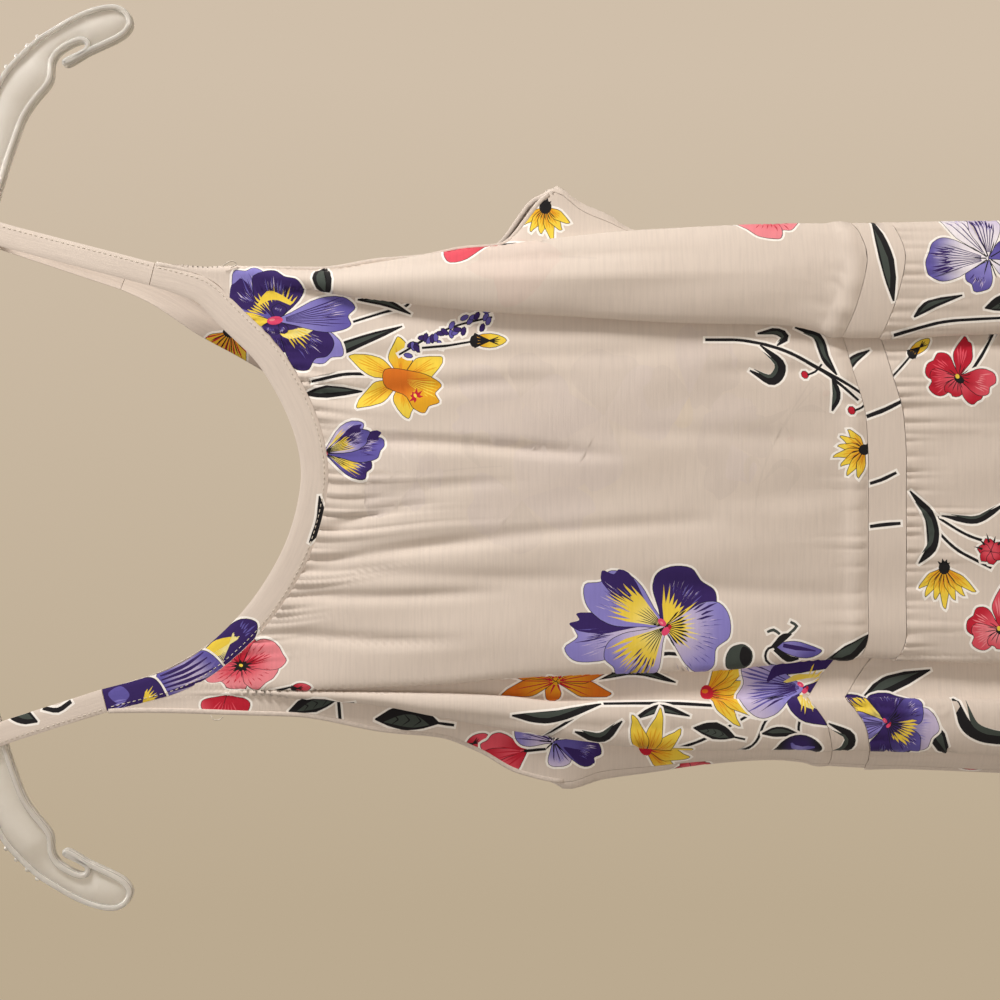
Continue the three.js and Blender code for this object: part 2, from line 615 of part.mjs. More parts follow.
/** The hanger: both arms with their strap notches, and the hook. */
async function hanger() {
  const right = HANGER_OUTLINE.map(([x, z]) => new THREE.Vector2(x, z));
  const left = HANGER_OUTLINE.filter(([x]) => x > 0).reverse().map(([x, z]) => new THREE.Vector2(-x, z));
  const arms = new THREE.ExtrudeGeometry(new THREE.Shape([...right, ...left]), {
    depth: HANGER_THICKNESS,
    bevelEnabled: false,
  });
  arms.rotateX(Math.PI / 2);
  arms.translate(0, HANGER_THICKNESS / 2, 0);

  const middle = HOOK_RADIUS + HOOK_WIRE;
  const onHook = (degrees) => {
    const angle = THREE.MathUtils.degToRad(degrees);
    return new THREE.Vector3(middle * Math.cos(angle), 0, middle * Math.sin(angle) - HOOK_RADIUS);
  };
  const arc = Array.from({ length: HOOK_ARC.points }, (_, i) => onHook(HOOK_ARC.from + i * HOOK_ARC.step));
  const stem = [[0, ARM_TOP_Z - STEM_FOOT], [0, -66], [1, -56], [6, -44.5]]
    .map(([x, z]) => new THREE.Vector3(x, 0, z));
  const path = new THREE.CatmullRomCurve3([...stem, ...arc], false, 'centripetal');
  const circle = new THREE.EllipseCurve(0, 0, HOOK_WIRE, HOOK_WIRE).getPoints(HOOK_SIDES);
  const section = new THREE.Shape(circle.slice(0, HOOK_SIDES));
  const hook = new THREE.ExtrudeGeometry(section, { steps: HOOK_STEPS, extrudePath: path });
  return union([arms, hook]);
}

add('bodice_front', bodice(FRONT, UPPER_ROWS, LOWER_ROWS), COLOURS.cloth);
add('bodice_back', bodice(BACK, BACK_UPPER_ROWS, BACK_LOWER_ROWS), COLOURS.cloth);
add('neck_binding_front', neckStrip(frontNeck, -1, FRONT_STRIP_STEPS), COLOURS.strip);
add('neck_binding_back', neckStrip(backNeck, 1, BACK_STRIP_STEPS), COLOURS.strip);
add('strap_left', strap('left'), COLOURS.strip);
add('strap_right', strap('right'), COLOURS.strip);
add('waistband_front', waistband(FRONT), COLOURS.strip);
add('waistband_back', waistband(BACK), COLOURS.strip);
add('skirt_front', skirt(FRONT), COLOURS.cloth);
add('skirt_back', skirt(BACK), COLOURS.cloth);
add('hanger', await hanger(), COLOURS.plastic);

export default group;
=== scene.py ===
"""A sleeveless printed sundress on a frosted plastic hanger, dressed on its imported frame.

The garment is worked out in millimetres, in the frame's axes, and turned into metres when
a mesh is made. Each panel is drawn flat, in millimetres across (along the cloth) and height,
cut into triangles along the edges of its printed flowers, and then folded into place.
"""

from collections import namedtuple

import bpy
import numpy as np
from mathutils import Matrix, Vector
from mathutils.geometry import delaunay_2d_cdt


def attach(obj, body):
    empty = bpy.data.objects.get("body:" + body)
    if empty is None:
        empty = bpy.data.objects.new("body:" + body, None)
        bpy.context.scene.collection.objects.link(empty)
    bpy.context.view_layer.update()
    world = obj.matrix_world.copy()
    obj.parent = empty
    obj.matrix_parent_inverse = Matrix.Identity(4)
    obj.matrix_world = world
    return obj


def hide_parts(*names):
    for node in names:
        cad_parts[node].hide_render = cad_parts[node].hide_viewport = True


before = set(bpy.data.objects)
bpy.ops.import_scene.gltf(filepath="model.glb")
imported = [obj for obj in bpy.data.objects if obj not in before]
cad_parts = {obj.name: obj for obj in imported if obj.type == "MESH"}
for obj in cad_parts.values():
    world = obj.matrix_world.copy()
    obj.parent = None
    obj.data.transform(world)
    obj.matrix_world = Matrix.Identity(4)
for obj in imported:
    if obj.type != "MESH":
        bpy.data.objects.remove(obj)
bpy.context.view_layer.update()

# Driving dimensions of the garment, in millimetres, as in its frame
SHELL = 0.9
STRIP_SHELL = 1.7
SEAM_GAP = 0.3
STRAP_WIDTH = 11
WAIST_Z = -545
WAISTBAND_HEIGHT = 18
HEM_Z = -1200
UNDERARM_LEFT_Z = -402
UNDERARM_RIGHT_Z = -396
BUST_Z = -370
HANGER_THICKNESS = 8
ARM_TOP_Z = -71
ARM_SLOPE = 0.29
ARM_DEPTH = 19
HOOK_RADIUS = 18
HOOK_WIRE = 3.5
STRAP_CROSSES = {"left": -136.5, "right": 112}

# The photograph: 1000 pixels cover 480 mm of the garment's plane
PHOTO_SPAN = 480
PHOTO_CENTRE_X = -20.6
PHOTO_CENTRE_Z = -370
CAMERA_DISTANCE = 850
CAMERA_LEVEL_Y = -12  # the plane that the distance is measured from
VIEW_FOOT = -640  # nothing below this height shows in the photo

# Neckline seams: x, y, z and the strip's width, from the left shoulder to the right
FRONT_NECK = np.array([
    (-122.5, -8.5, -181, 11), (-118, -8.8, -199, 11.3), (-113, -9.2, -216, 12),
    (-103, -10, -234, 12.6), (-80, -11.5, -258.5, 13), (-50, -12.8, -277.5, 13),
    (-23.5, -13.4, -286, 13), (-3, -13.5, -287.5, 13), (21.5, -13.2, -281.5, 13),
    (51.5, -12, -265, 13), (70.5, -11, -246.5, 13), (85, -10, -231, 12.5), (90, -9.4, -218, 12),
    (93.5, -9, -204, 11),
])
BACK_NECK = np.array([
    (-123, 8, -183, 11), (-115, 8.2, -210, 12), (-101, 8.5, -236, 13), (-82, 8.8, -258, 13),
    (-60, 9, -276, 13), (-36, 9.2, -287.5, 13), (-10, 9.3, -292, 13), (14, 9.2, -289.5, 13),
    (35, 9, -279, 13), (51, 8.8, -264, 13), (61, 8.6, -248, 13), (70.5, 8.4, -230.5, 13),
    (86, 8.2, -205, 12), (93, 8, -188, 11),
])

# Lines that run down the front: height and x
FRONT_LINES = {
    "leftEdge": [
        (-178, -124.5), (-225, -123.5), (-270, -124.5), (-316, -132.5), (-341, -135), (-360, -142),
        (-379, -152.5), (-402, -157), (-420, -151.5), (-445, -149), (-466, -147), (-504, -145.5),
        (-533, -148), (-610, -151), (-900, -160), (-1200, -170),
    ],
    "leftTurn": [
        (-215, -114), (-255, -114), (-272, -116), (-314, -120), (-339, -126), (-378, -132.5),
        (-415, -138), (-440, -141), (-480, -142), (-540, -142), (-610, -144), (-1200, -150),
    ],
    "leftStep": [
        (-218, -112.5), (-296, -112.5), (-376, -114.5), (-396, -116.5), (-530, -115), (-610, -115.5),
        (-1200, -118),
    ],
    "leftFold": [
        (-221, -111), (-274, -112), (-296, -111.5), (-341, -109.5), (-384, -105.5), (-466, -102.5),
        (-543, -96.5), (-610, -99), (-1200, -102),
    ],
    "rightFold": [
        (-235, 81), (-274, 80.5), (-297, 76.5), (-347, 70), (-396, 66.5), (-466, 63), (-506, 62),
        (-538, 56), (-610, 58), (-1200, 64),
    ],
    "rightTurn": [
        (-229, 88), (-250, 90), (-282, 90.5), (-312, 94.5), (-352, 99.5), (-370, 101.5), (-396, 105),
        (-442, 109.5), (-528, 112), (-610, 113), (-900, 122), (-1200, 133),
    ],
    "rightEdge": [
        (-204, 93.5), (-229, 89.5), (-250, 91.5), (-282, 92), (-312, 96), (-332, 97.5), (-352, 101.5),
        (-370, 103), (-396, 128.5), (-410, 119), (-423, 113.5), (-434, 109), (-466, 107.5), (-528, 109),
        (-610, 110), (-900, 118), (-1200, 129),
    ],
}
FRONT_DEPTH = [
    (-178, -8.5), (-235, -10.5), (-290, -13), (-345, -15.5), (-400, -17), (-466, -17.5),
    (-540, -16.5), (-610, -18), (-900, -22), (-1200, -25),
]
BACK_DEPTH = [(-178, 8), (-290, 9.5), (-400, 9.5), (-545, 8), (-900, 12), (-1200, 15)]

# Folds of the front: between which lines and at what share, how far it laps sideways, how far
# back it lies at bust, waist and hem, the waist seam's rise, and its place along the neckline
FRONT_FOLDS = [
    ("leftEdge", "leftTurn", 0, 0, 12, 14, 22, 15.5, 0),
    ("leftEdge", "leftTurn", 0.5, 0, 10, 10, 10, 15, 16),
    ("leftTurn", "leftStep", 0, 3, 9, 6, 3, 15, 30),
    ("leftTurn", "leftStep", 0.05, 0, 4, 2, -5, 16, 33),
    ("leftTurn", "leftStep", 0.5, 0, -1, -3, -10, 19, 35),
    ("leftTurn", "leftStep", 1, 0, 1, -2, -4, 28, 37),
    ("leftStep", "leftFold", 0, -1, 5.5, 1, 6, 28, 39),
    ("leftFold", "rightFold", 0, 3, 4.5, 4, 7, 12, 42),
    ("leftFold", "rightFold", 0, 0, -0.5, -0.5, 0, 5, 44),
    ("leftFold", "rightFold", 0.08, 0, -3.5, -4, -9, 0, 60),
    ("leftFold", "rightFold", 0.22, 0, -3, -3, 5, 0, 92),
    ("leftFold", "rightFold", 0.35, 0, -4.2, -4, -11, 0, 122),
    ("leftFold", "rightFold", 0.48, 0, -3.2, -3.6, 4, 0, 150),
    ("leftFold", "rightFold", 0.61, 0, -4.4, -4, -9, 0, 178),
    ("leftFold", "rightFold", 0.75, 0, -3.2, -3.4, 5, 1, 210),
    ("leftFold", "rightFold", 0.9, 0, -2, -3, -4, 7, 246),
    ("leftFold", "rightFold", 1, 4, 1, 1, 2, 12, 270),
    ("rightFold", "rightTurn", 0, 0, -4, -4, -4, 12.5, 274),
    ("rightFold", "rightTurn", 0.3, 0, -8.5, -8, -12, 6, 284),
    ("rightFold", "rightTurn", 0.7, 0, -5, -6, -3, 1, 292),
    ("rightFold", "rightTurn", 1, 0, 4, 3, 2, 7, 298),
    ("rightFold", "rightTurn", 1, -2, 8, 8, 10, 11, 303),
    ("rightEdge", "rightTurn", 0, 0, 12, 13, 21, 16, 308),
]
# Folds of the back: share of its width, depth at bust, waist and hem, rise and place at the neck
BACK_FOLDS = [
    (0.07, 0, 1, 2, 14, 14),
    (0.17, 2, 3, 9, 10, 45),
    (0.28, 0, 0, -5, 4, 82),
    (0.4, 2, 2.5, 10, 1, 124),
    (0.52, 0.5, 0.5, -4, 0, 164),
    (0.64, 2.5, 2.5, 11, 1, 204),
    (0.76, 0.5, 0, -5, 5, 244),
    (0.87, 2, 3, 8, 10, 280),
    (0.95, 0, 1, 2, 14, 304),
]
BACK_ARMHOLE = {
    "left": [
        (-180, -123.5), (-225, -122.5), (-270, -123.5), (-341, -134.5), (-360, -142.5),
        (-379, -153.5), (-402, -158),
    ],
    "right": [
        (-188, 93), (-230, 88.5), (-280, 90), (-330, 95), (-366, 102.5), (-392, 130), (-402, 126),
    ],
}
WRAP = [(-390, 2), (-402, 3), (-420, 4), (-450, 3.5), (-500, 2.2), (-1200, 3)]
TURN_RADIUS = 1.8

# Gathers at a seam: how far they stand out and their width, the least fade and how much more it can
# be, how seldom it is more, how sharply they end, and salts for the front, the back and the fades
Gather = namedtuple("Gather", "out pitch fade more seldom sharp front back salt")
NECK_GATHER = Gather(2.9, 5.3, 11, 34, 2, 1.4, 1, 4, 3)
WAIST_GATHER = Gather(0.9, 9, 6, 14, 1, 1.5, 2, 2, 5)
SKIRT_GATHER = Gather(1.7, 5.6, 7, 46, 3, 1.2, 3, 6, 7)
BLOUSE_OUT = 1.0  # the bodice's soft roll over the waistband
BLOUSE_HEIGHT = 11
SKIRT_WAVE = 0.8
SKIRT_WAVE_GROWS = (60, 400)
RIPPLE = 0.35
CREASE_SHARE = 1.7  # of the depths listed with the creases
HELD_BY_NECK = 70  # how far below the neckline its seam still pulls the cloth
LEVELLED_BY_NECK = 25  # and how far its seam still turns it

# The fine grid that a panel's shape is worked out on
STEPS_A_FOLD = 22
ROW_HEIGHT = 1.6
MIDDLE_SHARE = 0.55

# A panel's flat lattice: the fine bands at its top and bottom, and the rows and columns between them
Lattice = namedtuple("Lattice", "top bottom row column")
LATTICES = {
    "bodice": Lattice(26, 12, 3.8, 2.6),
    "band": Lattice(0, 0, 3.0, 2.0),
    "skirt": Lattice(36, 0, 5.4, 3.6),
}

# Half of the hanger's outline, from the top of its middle round the tip to the lower edge
HANGER_OUTLINE = [
    (7, ARM_TOP_Z + 3), (12, ARM_TOP_Z - 12 * ARM_SLOPE), (60, ARM_TOP_Z - 60 * ARM_SLOPE),
    (120, ARM_TOP_Z - 120 * ARM_SLOPE), (150, ARM_TOP_Z - 150 * ARM_SLOPE), (165, -119.2),
    (176, -122.8), (184.3, -126.8), (189.7, -130.5), (195, -135.4), (204.3, -145.6), (209.2, -153.4),
    (214, -161.6), (217.9, -170.4), (220, -179.2), (219.6, -185), (216, -189.9), (210.6, -191.6),
    (205.8, -188.9), (202.4, -184), (199.4, -177.7), (196, -170.4), (190, -159.2), (191, -157.6),
    (193, -157.6), (197.6, -166), (199.4, -168.4), (201, -168.4), (201.6, -166.2), (196.6, -156.6),
    (192.1, -153.6), (182.8, -152.4), (172.6, -144.6), (165.3, -139.7), (153.2, -135),
    (140, ARM_TOP_Z - 140 * ARM_SLOPE - ARM_DEPTH), (60, ARM_TOP_Z - 60 * ARM_SLOPE - ARM_DEPTH),
    (12, ARM_TOP_Z - 12 * ARM_SLOPE - ARM_DEPTH), (0, ARM_TOP_Z - ARM_DEPTH - 2),
]


def ease(start, end, value):
    """0 before start, 1 after end, smooth between."""
    t = np.clip((np.asarray(value, float) - start) / (end - start), 0, 1)
    return t * t * (3 - 2 * t)


def track(rows):
    """A smooth curve through rows of (position, value) that never overshoots them."""
    xs, ys = np.array(sorted(rows), float).T
    slopes = np.diff(ys) / np.diff(xs)
    before = np.concatenate(([slopes[0]], slopes))
    after = np.concatenate((slopes, [slopes[-1]]))
    product = before * after
    total = np.where(before + after == 0, 1, before + after)
    tangents = np.where(product <= 0, 0, 2 * product / total)

    def at(position):
        p = np.clip(np.asarray(position, float), xs[0], xs[-1])
        i = np.clip(np.searchsorted(xs, p, side="right") - 1, 0, len(xs) - 2)
        span = xs[i + 1] - xs[i]
        t = (p - xs[i]) / span
        h = t * t * (3 - 2 * t)
        bend = span * t * (1 - t) * (tangents[i] * (1 - t) - tangents[i + 1] * t)
        return ys[i] * (1 - h) + ys[i + 1] * h + bend

    return at


def through(points, places):
    """Centripetal Catmull-Rom: points (..., n, d) at fractional indexes, giving (..., m, d)."""
    first = 2 * points[..., :1, :] - points[..., 1:2, :]
    last = 2 * points[..., -1:, :] - points[..., -2:-1, :]
    full = np.concatenate((first, points, last), axis=-2)
    steps = np.linalg.norm(np.diff(full, axis=-2), axis=-1, keepdims=True) ** 0.5
    steps = np.maximum(steps, 1e-4)
    k = np.clip(np.floor(places).astype(int), 0, points.shape[-2] - 2)
    t = (places - k)[:, None]
    a, b, c, d = (full[..., k + i, :] for i in range(4))
    ab, bc, cd = (steps[..., k + i, :] for i in range(3))
    leave = ((b - a) / ab - (c - a) / (ab + bc) + (c - b) / bc) * bc
    arrive = ((c - b) / bc - (d - b) / (bc + cd) + (d - c) / cd) * bc
    return b + t * leave + t**2 * (3 * (c - b) - 2 * leave - arrive) + t**3 * (2 * (b - c) + leave + arrive)


def hashed(index, salt=0.0):
    """An uneven but repeatable number from 0 to 1 for each index."""
    value = np.sin(np.asarray(index, float) * 12.9898 + salt * 78.233) * 43758.5453
    return value - np.floor(value)


LINES = {name: track(rows) for name, rows in FRONT_LINES.items()}
front_depth = track(FRONT_DEPTH)
back_depth = track(BACK_DEPTH)
ARMHOLE = {side: track(rows) for side, rows in BACK_ARMHOLE.items()}
wrap = track(WRAP)


def fold_depth(bust, waist, hem):
    return track([(-190, 0), (-240, bust * 0.15), (BUST_Z, bust), (WAIST_Z, waist), (HEM_Z, hem)])


def front_stations(z):
    """Fold points (len(z), folds, 2) of the front's section at heights z, trimmed at its seams."""
    grown = ease(-230, -340, z)
    out = []
    for start, end, share, over, bust, waist, hem, _, _ in FRONT_FOLDS:
        x = LINES[start](z) * (1 - share) + LINES[end](z) * share + over * grown
        out.append(np.stack((x, front_depth(z) + fold_depth(bust, waist, hem)(z)), axis=-1))
    return np.stack(out, axis=1)


def unit(v):
    return v / np.maximum(np.linalg.norm(v, axis=-1, keepdims=True), 1e-9)


def front_section(z):
    points = front_stations(z)
    points[:, 0] += unit(points[:, 1] - points[:, 0]) * SEAM_GAP / 2
    points[:, -1] += unit(points[:, -2] - points[:, -1]) * SEAM_GAP / 2
    return points


def back_end(z, side):
    """Three points at one end of the back: free at the armhole, sewn and turned below it."""
    middle = 1 if side == "left" else -1
    front = front_stations(z)
    seam, second = (front[:, 0], front[:, 1]) if side == "left" else (front[:, -1], front[:, -2])
    inward = unit(second - seam)
    underarm = UNDERARM_LEFT_Z if side == "left" else UNDERARM_RIGHT_Z
    sewn = ease(-384, underarm, z)[:, None]
    free = np.stack((ARMHOLE[side](z), back_depth(z) - 3.5), axis=-1)
    turned = wrap(z)[:, None]
    sewn_points = [
        seam - inward * SEAM_GAP / 2,
        seam - inward * turned,
        seam - inward * turned + np.array((-0.6 * middle, 2 * TURN_RADIUS)),
    ]
    free_points = [free + np.array((x * middle, i * 0.8)) for i, x in enumerate((0, 2, 5))]
    return [a * (1 - sewn) + b * sewn for a, b in zip(free_points, sewn_points)]


def back_section(z):
    left = back_end(z, "left")
    right = back_end(z, "right")[::-1]
    middle = []
    for share, bust, waist, hem, _, _ in BACK_FOLDS:
        x = left[2][:, 0] * (1 - share) + right[0][:, 0] * share
        middle.append(np.stack((x, back_depth(z) + fold_depth(bust, waist, hem)(z)), axis=-1))
    return np.stack([*left, *middle, *right], axis=1)


class Neckline:
    """A neckline seam by its length from the left end."""

    def __init__(self, rows):
        self.rows = rows
        self.places = np.linspace(0, len(rows) - 1, 1200)
        fine = through(rows[:, :3], self.places)
        self.lengths = np.concatenate(([0], np.cumsum(np.linalg.norm(np.diff(fine, axis=0), axis=1))))
        self.length = self.lengths[-1]

    def at(self, distance):
        place = np.interp(distance, self.lengths, self.places)
        point = through(self.rows[:, :3], place)
        low = np.clip(place - 0.02, 0, len(self.rows) - 1)
        high = np.clip(place + 0.02, 0, len(self.rows) - 1)
        along = unit(through(self.rows[:, :3], high) - through(self.rows[:, :3], low))
        inward = unit(np.stack((-along[:, 2], 0 * place, along[:, 0]), axis=-1))
        width = track([(i, row[3]) for i, row in enumerate(self.rows)])(place)
        return point, along, inward, width


front_neck = Neckline(FRONT_NECK)
back_neck = Neckline(BACK_NECK)


class Side:
    """The front or the back of the garment: its section, neckline, seams and gathers."""

    def __init__(self, name, section, outward, neck, seams, rises, gathered):
        self.name = name
        self.section = section
        self.outward = outward
        self.neck = neck
        self.last = len(seams) - 1
        self.seam = track(list(enumerate(np.array(seams) * neck.length / seams[-1])))
        self.rise = track(list(enumerate(rises)))
        self.gathered = gathered

    def top(self, s):
        """The neckline seam's points at places s along the section."""
        point, _, inward, _ = self.neck.at(self.seam(s))
        return point - inward * SEAM_GAP / 2

    def waist(self, s):
        return WAIST_Z + self.rise(s)


def front_gathered(x):
    """How strongly the front is gathered into its neckline: least left of its middle."""
    uneven = 0.45 + 0.55 * (1 - ease(-12, 8, x)) + 0.4 * ease(6, 20, x)
    return ease(-106, -84, x) * (1 - ease(58, 72, x)) * uneven


def back_gathered(x):
    return ease(-95, -70, x) * (1 - ease(45, 65, x))


front_side = Side(
    "front", front_section, -1, front_neck,
    [row[8] for row in FRONT_FOLDS], [row[7] for row in FRONT_FOLDS], front_gathered,
)
back_side = Side(
    "back", back_section, 1, back_neck,
    [0, 3, 7] + [row[5] for row in BACK_FOLDS] + [311, 315, 318],
    [15.5] * 3 + [row[4] for row in BACK_FOLDS] + [16] * 3, back_gathered,
)


def puffs(place, pitch, salt):
    """Rounded puffs with sharp valleys, unevenly wide and high, from -0.5 to 0.5."""
    k = place / pitch
    k = k + 0.22 * np.sin(k * 1.7 + salt) + 0.13 * np.sin(k * 3.9 + 2 * salt)
    cell = np.floor(k)
    height = 0.55 + 0.75 * hashed(cell, salt)
    return height * (np.abs(np.sin(np.pi * k)) ** 0.75 - 0.55), cell


# Creases that run down the cloth: side, x and height of the start and end, depth, half width
CREASES = [
    ("front", 7, -306, 2, -425, 1.3, 3.2),
    ("front", -44, -320, -29, -475, 0.9, 4),
    ("front", -66, -268, -65, -372, 1.1, 3),
    ("front", -86, -262, -87, -352, 1, 3),
    ("front", -54, -285, -58, -420, 0.6, 4),
    ("front", -20, -292, -12, -380, 0.5, 3),
    ("front", 30, -285, 36, -400, 0.8, 4),
    ("front", -51, -275, -40, -368, 0.9, 3),
    ("front", -32, -290, -22, -340, 0.9, 3),
    ("front", 46, -275, 52, -480, 0.7, 5),
    ("front", 92, -265, 96, -470, 0.8, 3),
    ("front", 84, -300, 88, -500, -0.7, 4),
    ("front", 12, -430, 6, -540, 0.5, 5),
    ("front", -60, -440, -66, -542, 0.6, 5),
    ("front", -30, -470, -22, -543, -0.4, 6),
    ("front", 40, -470, 44, -543, 0.5, 4),
    ("front", -124, -300, -130, -500, 0.5, 3),
    ("back", -60, -292, -66, -430, 1.2, 4),
    ("back", -20, -300, -14, -470, 1.0, 5),
    ("back", 30, -296, 26, -410, 1.1, 4),
    ("back", 60, -300, 74, -500, 1.0, 6),
    ("back", -95, -330, -90, -520, 0.9, 6),
]


def creased(side, x, z):
    """How far the cloth is pushed in by its creases."""
    total = np.zeros(np.shape(x))
    for name, x0, z0, x1, z1, depth, width in CREASES:
        if name == side.name:
            t = (z0 - z) / (z0 - z1)
            line = x0 + (x1 - x0) * np.clip(t, 0, 1) + 1.2 * np.sin(4 * t + x0)
            window = ease(-0.15, 0.2, t) * (1 - ease(0.6, 1.15, t))
            total = total + depth * window * np.exp(-(((x - line) / width) ** 2))
    return total


class Panel:
    """A gathered panel between two seams, as a fine grid of places s and heights z."""

    def __init__(self, side, kind):
        self.side = side
        self.kind = kind
        self.s = np.linspace(0, side.last, side.last * STEPS_A_FOLD + 1)
        waist = side.waist(self.s)
        band_foot = waist - WAISTBAND_HEIGHT
        gap = SEAM_GAP / 2
        self.upper, self.lower = {
            "bodice": (side.top(self.s)[:, 2], waist + gap),
            "band": (waist - gap, band_foot + gap),
            "skirt": (band_foot - gap, np.full(waist.shape, float(HEM_Z))),
        }[kind]
        high, low = self.upper.max(), self.lower.min()
        self.z = np.linspace(high + 3, low - 3, int((high - low) / ROW_HEIGHT))
        base = self.relaxed(through(side.section(self.z), self.s))
        self.across = self.arc(base)
        self.place(base)

    def relaxed(self, base):
        """Rounds the tightest turns, where the points lie closest, so that the shell clears itself."""
        for _ in range(90):
            step = np.linalg.norm(np.diff(base, axis=1), axis=2)
            close = np.exp(-(((step[:, 1:] + step[:, :-1]) / 0.8) ** 2))[..., None]
            base[:, 1:-1] += 0.5 * close * ((base[:, :-2] + base[:, 2:]) / 2 - base[:, 1:-1])
        return base

    def arc(self, base):
        """Length along the cloth from a place near its middle, which keeps its own x."""
        step = np.linalg.norm(np.diff(base, axis=1), axis=2)
        run = np.concatenate((np.zeros((len(base), 1)), np.cumsum(step, axis=1)), axis=1)
        i = int(self.side.last * MIDDLE_SHARE * STEPS_A_FOLD)
        return run - run[:, i : i + 1] + base[:, i : i + 1, 0]

    def facing(self, points):
        """Level unit normals, away from the wearer."""
        along = np.gradient(points, axis=1) * self.side.outward
        return unit(np.stack((-along[..., 1], along[..., 0]), axis=-1))

    def gathers(self, kind, place, distance):
        """Puffs that stand out at a seam and fade with the distance from it."""
        wave, cell = puffs(place, kind.pitch, kind.front if self.side.name == "front" else kind.back)
        fade = kind.fade + kind.more * hashed(cell, kind.salt) ** kind.seldom
        return kind.out * wave * np.exp(-((distance / fade) ** kind.sharp))

    def sewn_to_neck(self, points, normal, below):
        """Pulls the section onto the neckline seam and levels it there."""
        top = self.side.top(self.s)
        rows = through(self.side.section(top[:, 2]), self.s)
        start = rows[np.arange(len(top)), np.arange(len(top))]
        held = (1 - ease(0, HELD_BY_NECK, below))[..., None]
        level = (1 - ease(0, LEVELLED_BY_NECK, below))[..., None]
        outward = np.array((0.0, float(self.side.outward)))
        return points + (top[:, :2] - start)[None] * held, unit(normal * (1 - level) + outward * level)

    def place(self, base):
        """Gives the section its seams, gathers, creases and ripples."""
        side, s, z = self.side, self.s, self.z[:, None]
        points, normal = base, self.facing(base)
        out = np.zeros(base.shape[:2])
        below = np.maximum(self.upper[None] - z, 0)
        above = np.maximum(z - self.lower[None], 0)
        if self.kind == "bodice":
            points, normal = self.sewn_to_neck(points, normal, below)
            out += self.gathers(NECK_GATHER, side.seam(s), below) * side.gathered(side.top(s)[:, 0])
            out += self.gathers(WAIST_GATHER, self.across, above) * ease(0, 3, above)
            out += BLOUSE_OUT * np.sin(np.pi * np.clip(above / BLOUSE_HEIGHT, 0, 1))
        if self.kind == "skirt":
            off_seams = ease(0, 1.5, s) * (1 - ease(side.last - 1.5, side.last, s))
            out += self.gathers(SKIRT_GATHER, self.across, below) * off_seams
            slow = np.sin(self.across * 0.11 + 0.4) + 0.6 * np.sin(self.across * 0.23 + z * 0.006)
            out += SKIRT_WAVE * slow * ease(*SKIRT_WAVE_GROWS, below)
        x = points[..., 0]
        out -= CREASE_SHARE * creased(side, x, z)
        ripple = np.sin(x * 0.16 + z * 0.021) * np.sin(z * 0.045 + x * 0.05)
        out += RIPPLE * ripple * ease(0, 20, below) * ease(0, 20, above)
        self.points = points + normal * out[..., None]
        level = self.facing(self.points)
        lean = -np.sum(np.gradient(self.points, self.z, axis=0) * level, axis=-1, keepdims=True)
        self.normals = unit(np.concatenate((level, lean), axis=-1))

    def sample(self, grid, s, z):
        """The fine grid's values at places s and heights z."""
        row = np.clip(np.interp(-z, -self.z, np.arange(len(self.z))), 0, len(self.z) - 1.001)
        column = np.clip(s / self.side.last * (len(self.s) - 1), 0, len(self.s) - 1.001)
        i, j = np.floor(row).astype(int), np.floor(column).astype(int)
        a, b = (row - i)[:, None], (column - j)[:, None]
        upper = grid[i, j] * (1 - b) + grid[i, j + 1] * b
        lower = grid[i + 1, j] * (1 - b) + grid[i + 1, j + 1] * b
        return upper * (1 - a) + lower * a

    def flat_of(self, s, z):
        """The flat coordinates across of places s at heights z."""
        return self.sample(self.across[..., None], s, z)[:, 0]

    def place_of(self, across, z):
        """The place s of flat points, found by halving."""
        low = np.zeros(len(z))
        high = np.full(len(z), float(self.side.last))
        for _ in range(24):
            middle = (low + high) / 2
            past = self.flat_of(middle, z) > across
            high = np.where(past, middle, high)
            low = np.where(past, low, middle)
        return (low + high) / 2

    def fold(self, flat):
        """Folds flat points (n, 2) into place: positions and normals."""
        across, z = flat.T
        s = self.place_of(across, z)
        return np.column_stack((self.sample(self.points, s, z), z)), unit(self.sample(self.normals, s, z))

    def columns(self, rows, spacing, bend):
        """Places s a spacing apart along the cloth, and closer where it turns."""
        step = np.linalg.norm(np.diff(self.points[rows], axis=1), axis=2)
        turn = np.linalg.norm(np.diff(self.normals[rows], axis=1), axis=2)
        total = np.concatenate(([0], np.cumsum((step / spacing + turn / bend).mean(axis=0))))
        return np.interp(np.linspace(0, total[-1], int(total[-1]) + 1), total, self.s)

    def seams(self, places):
        """Heights of the upper and the lower seam at places s."""
        return np.interp(places, self.s, self.upper), np.interp(places, self.s, self.lower)

    def grid(self, places, z):
        """Flat points at places s and at rows of heights z."""
        s = np.broadcast_to(places, z.shape)
        return np.stack((self.flat_of(s.ravel(), z.ravel()).reshape(z.shape), z), axis=-1)

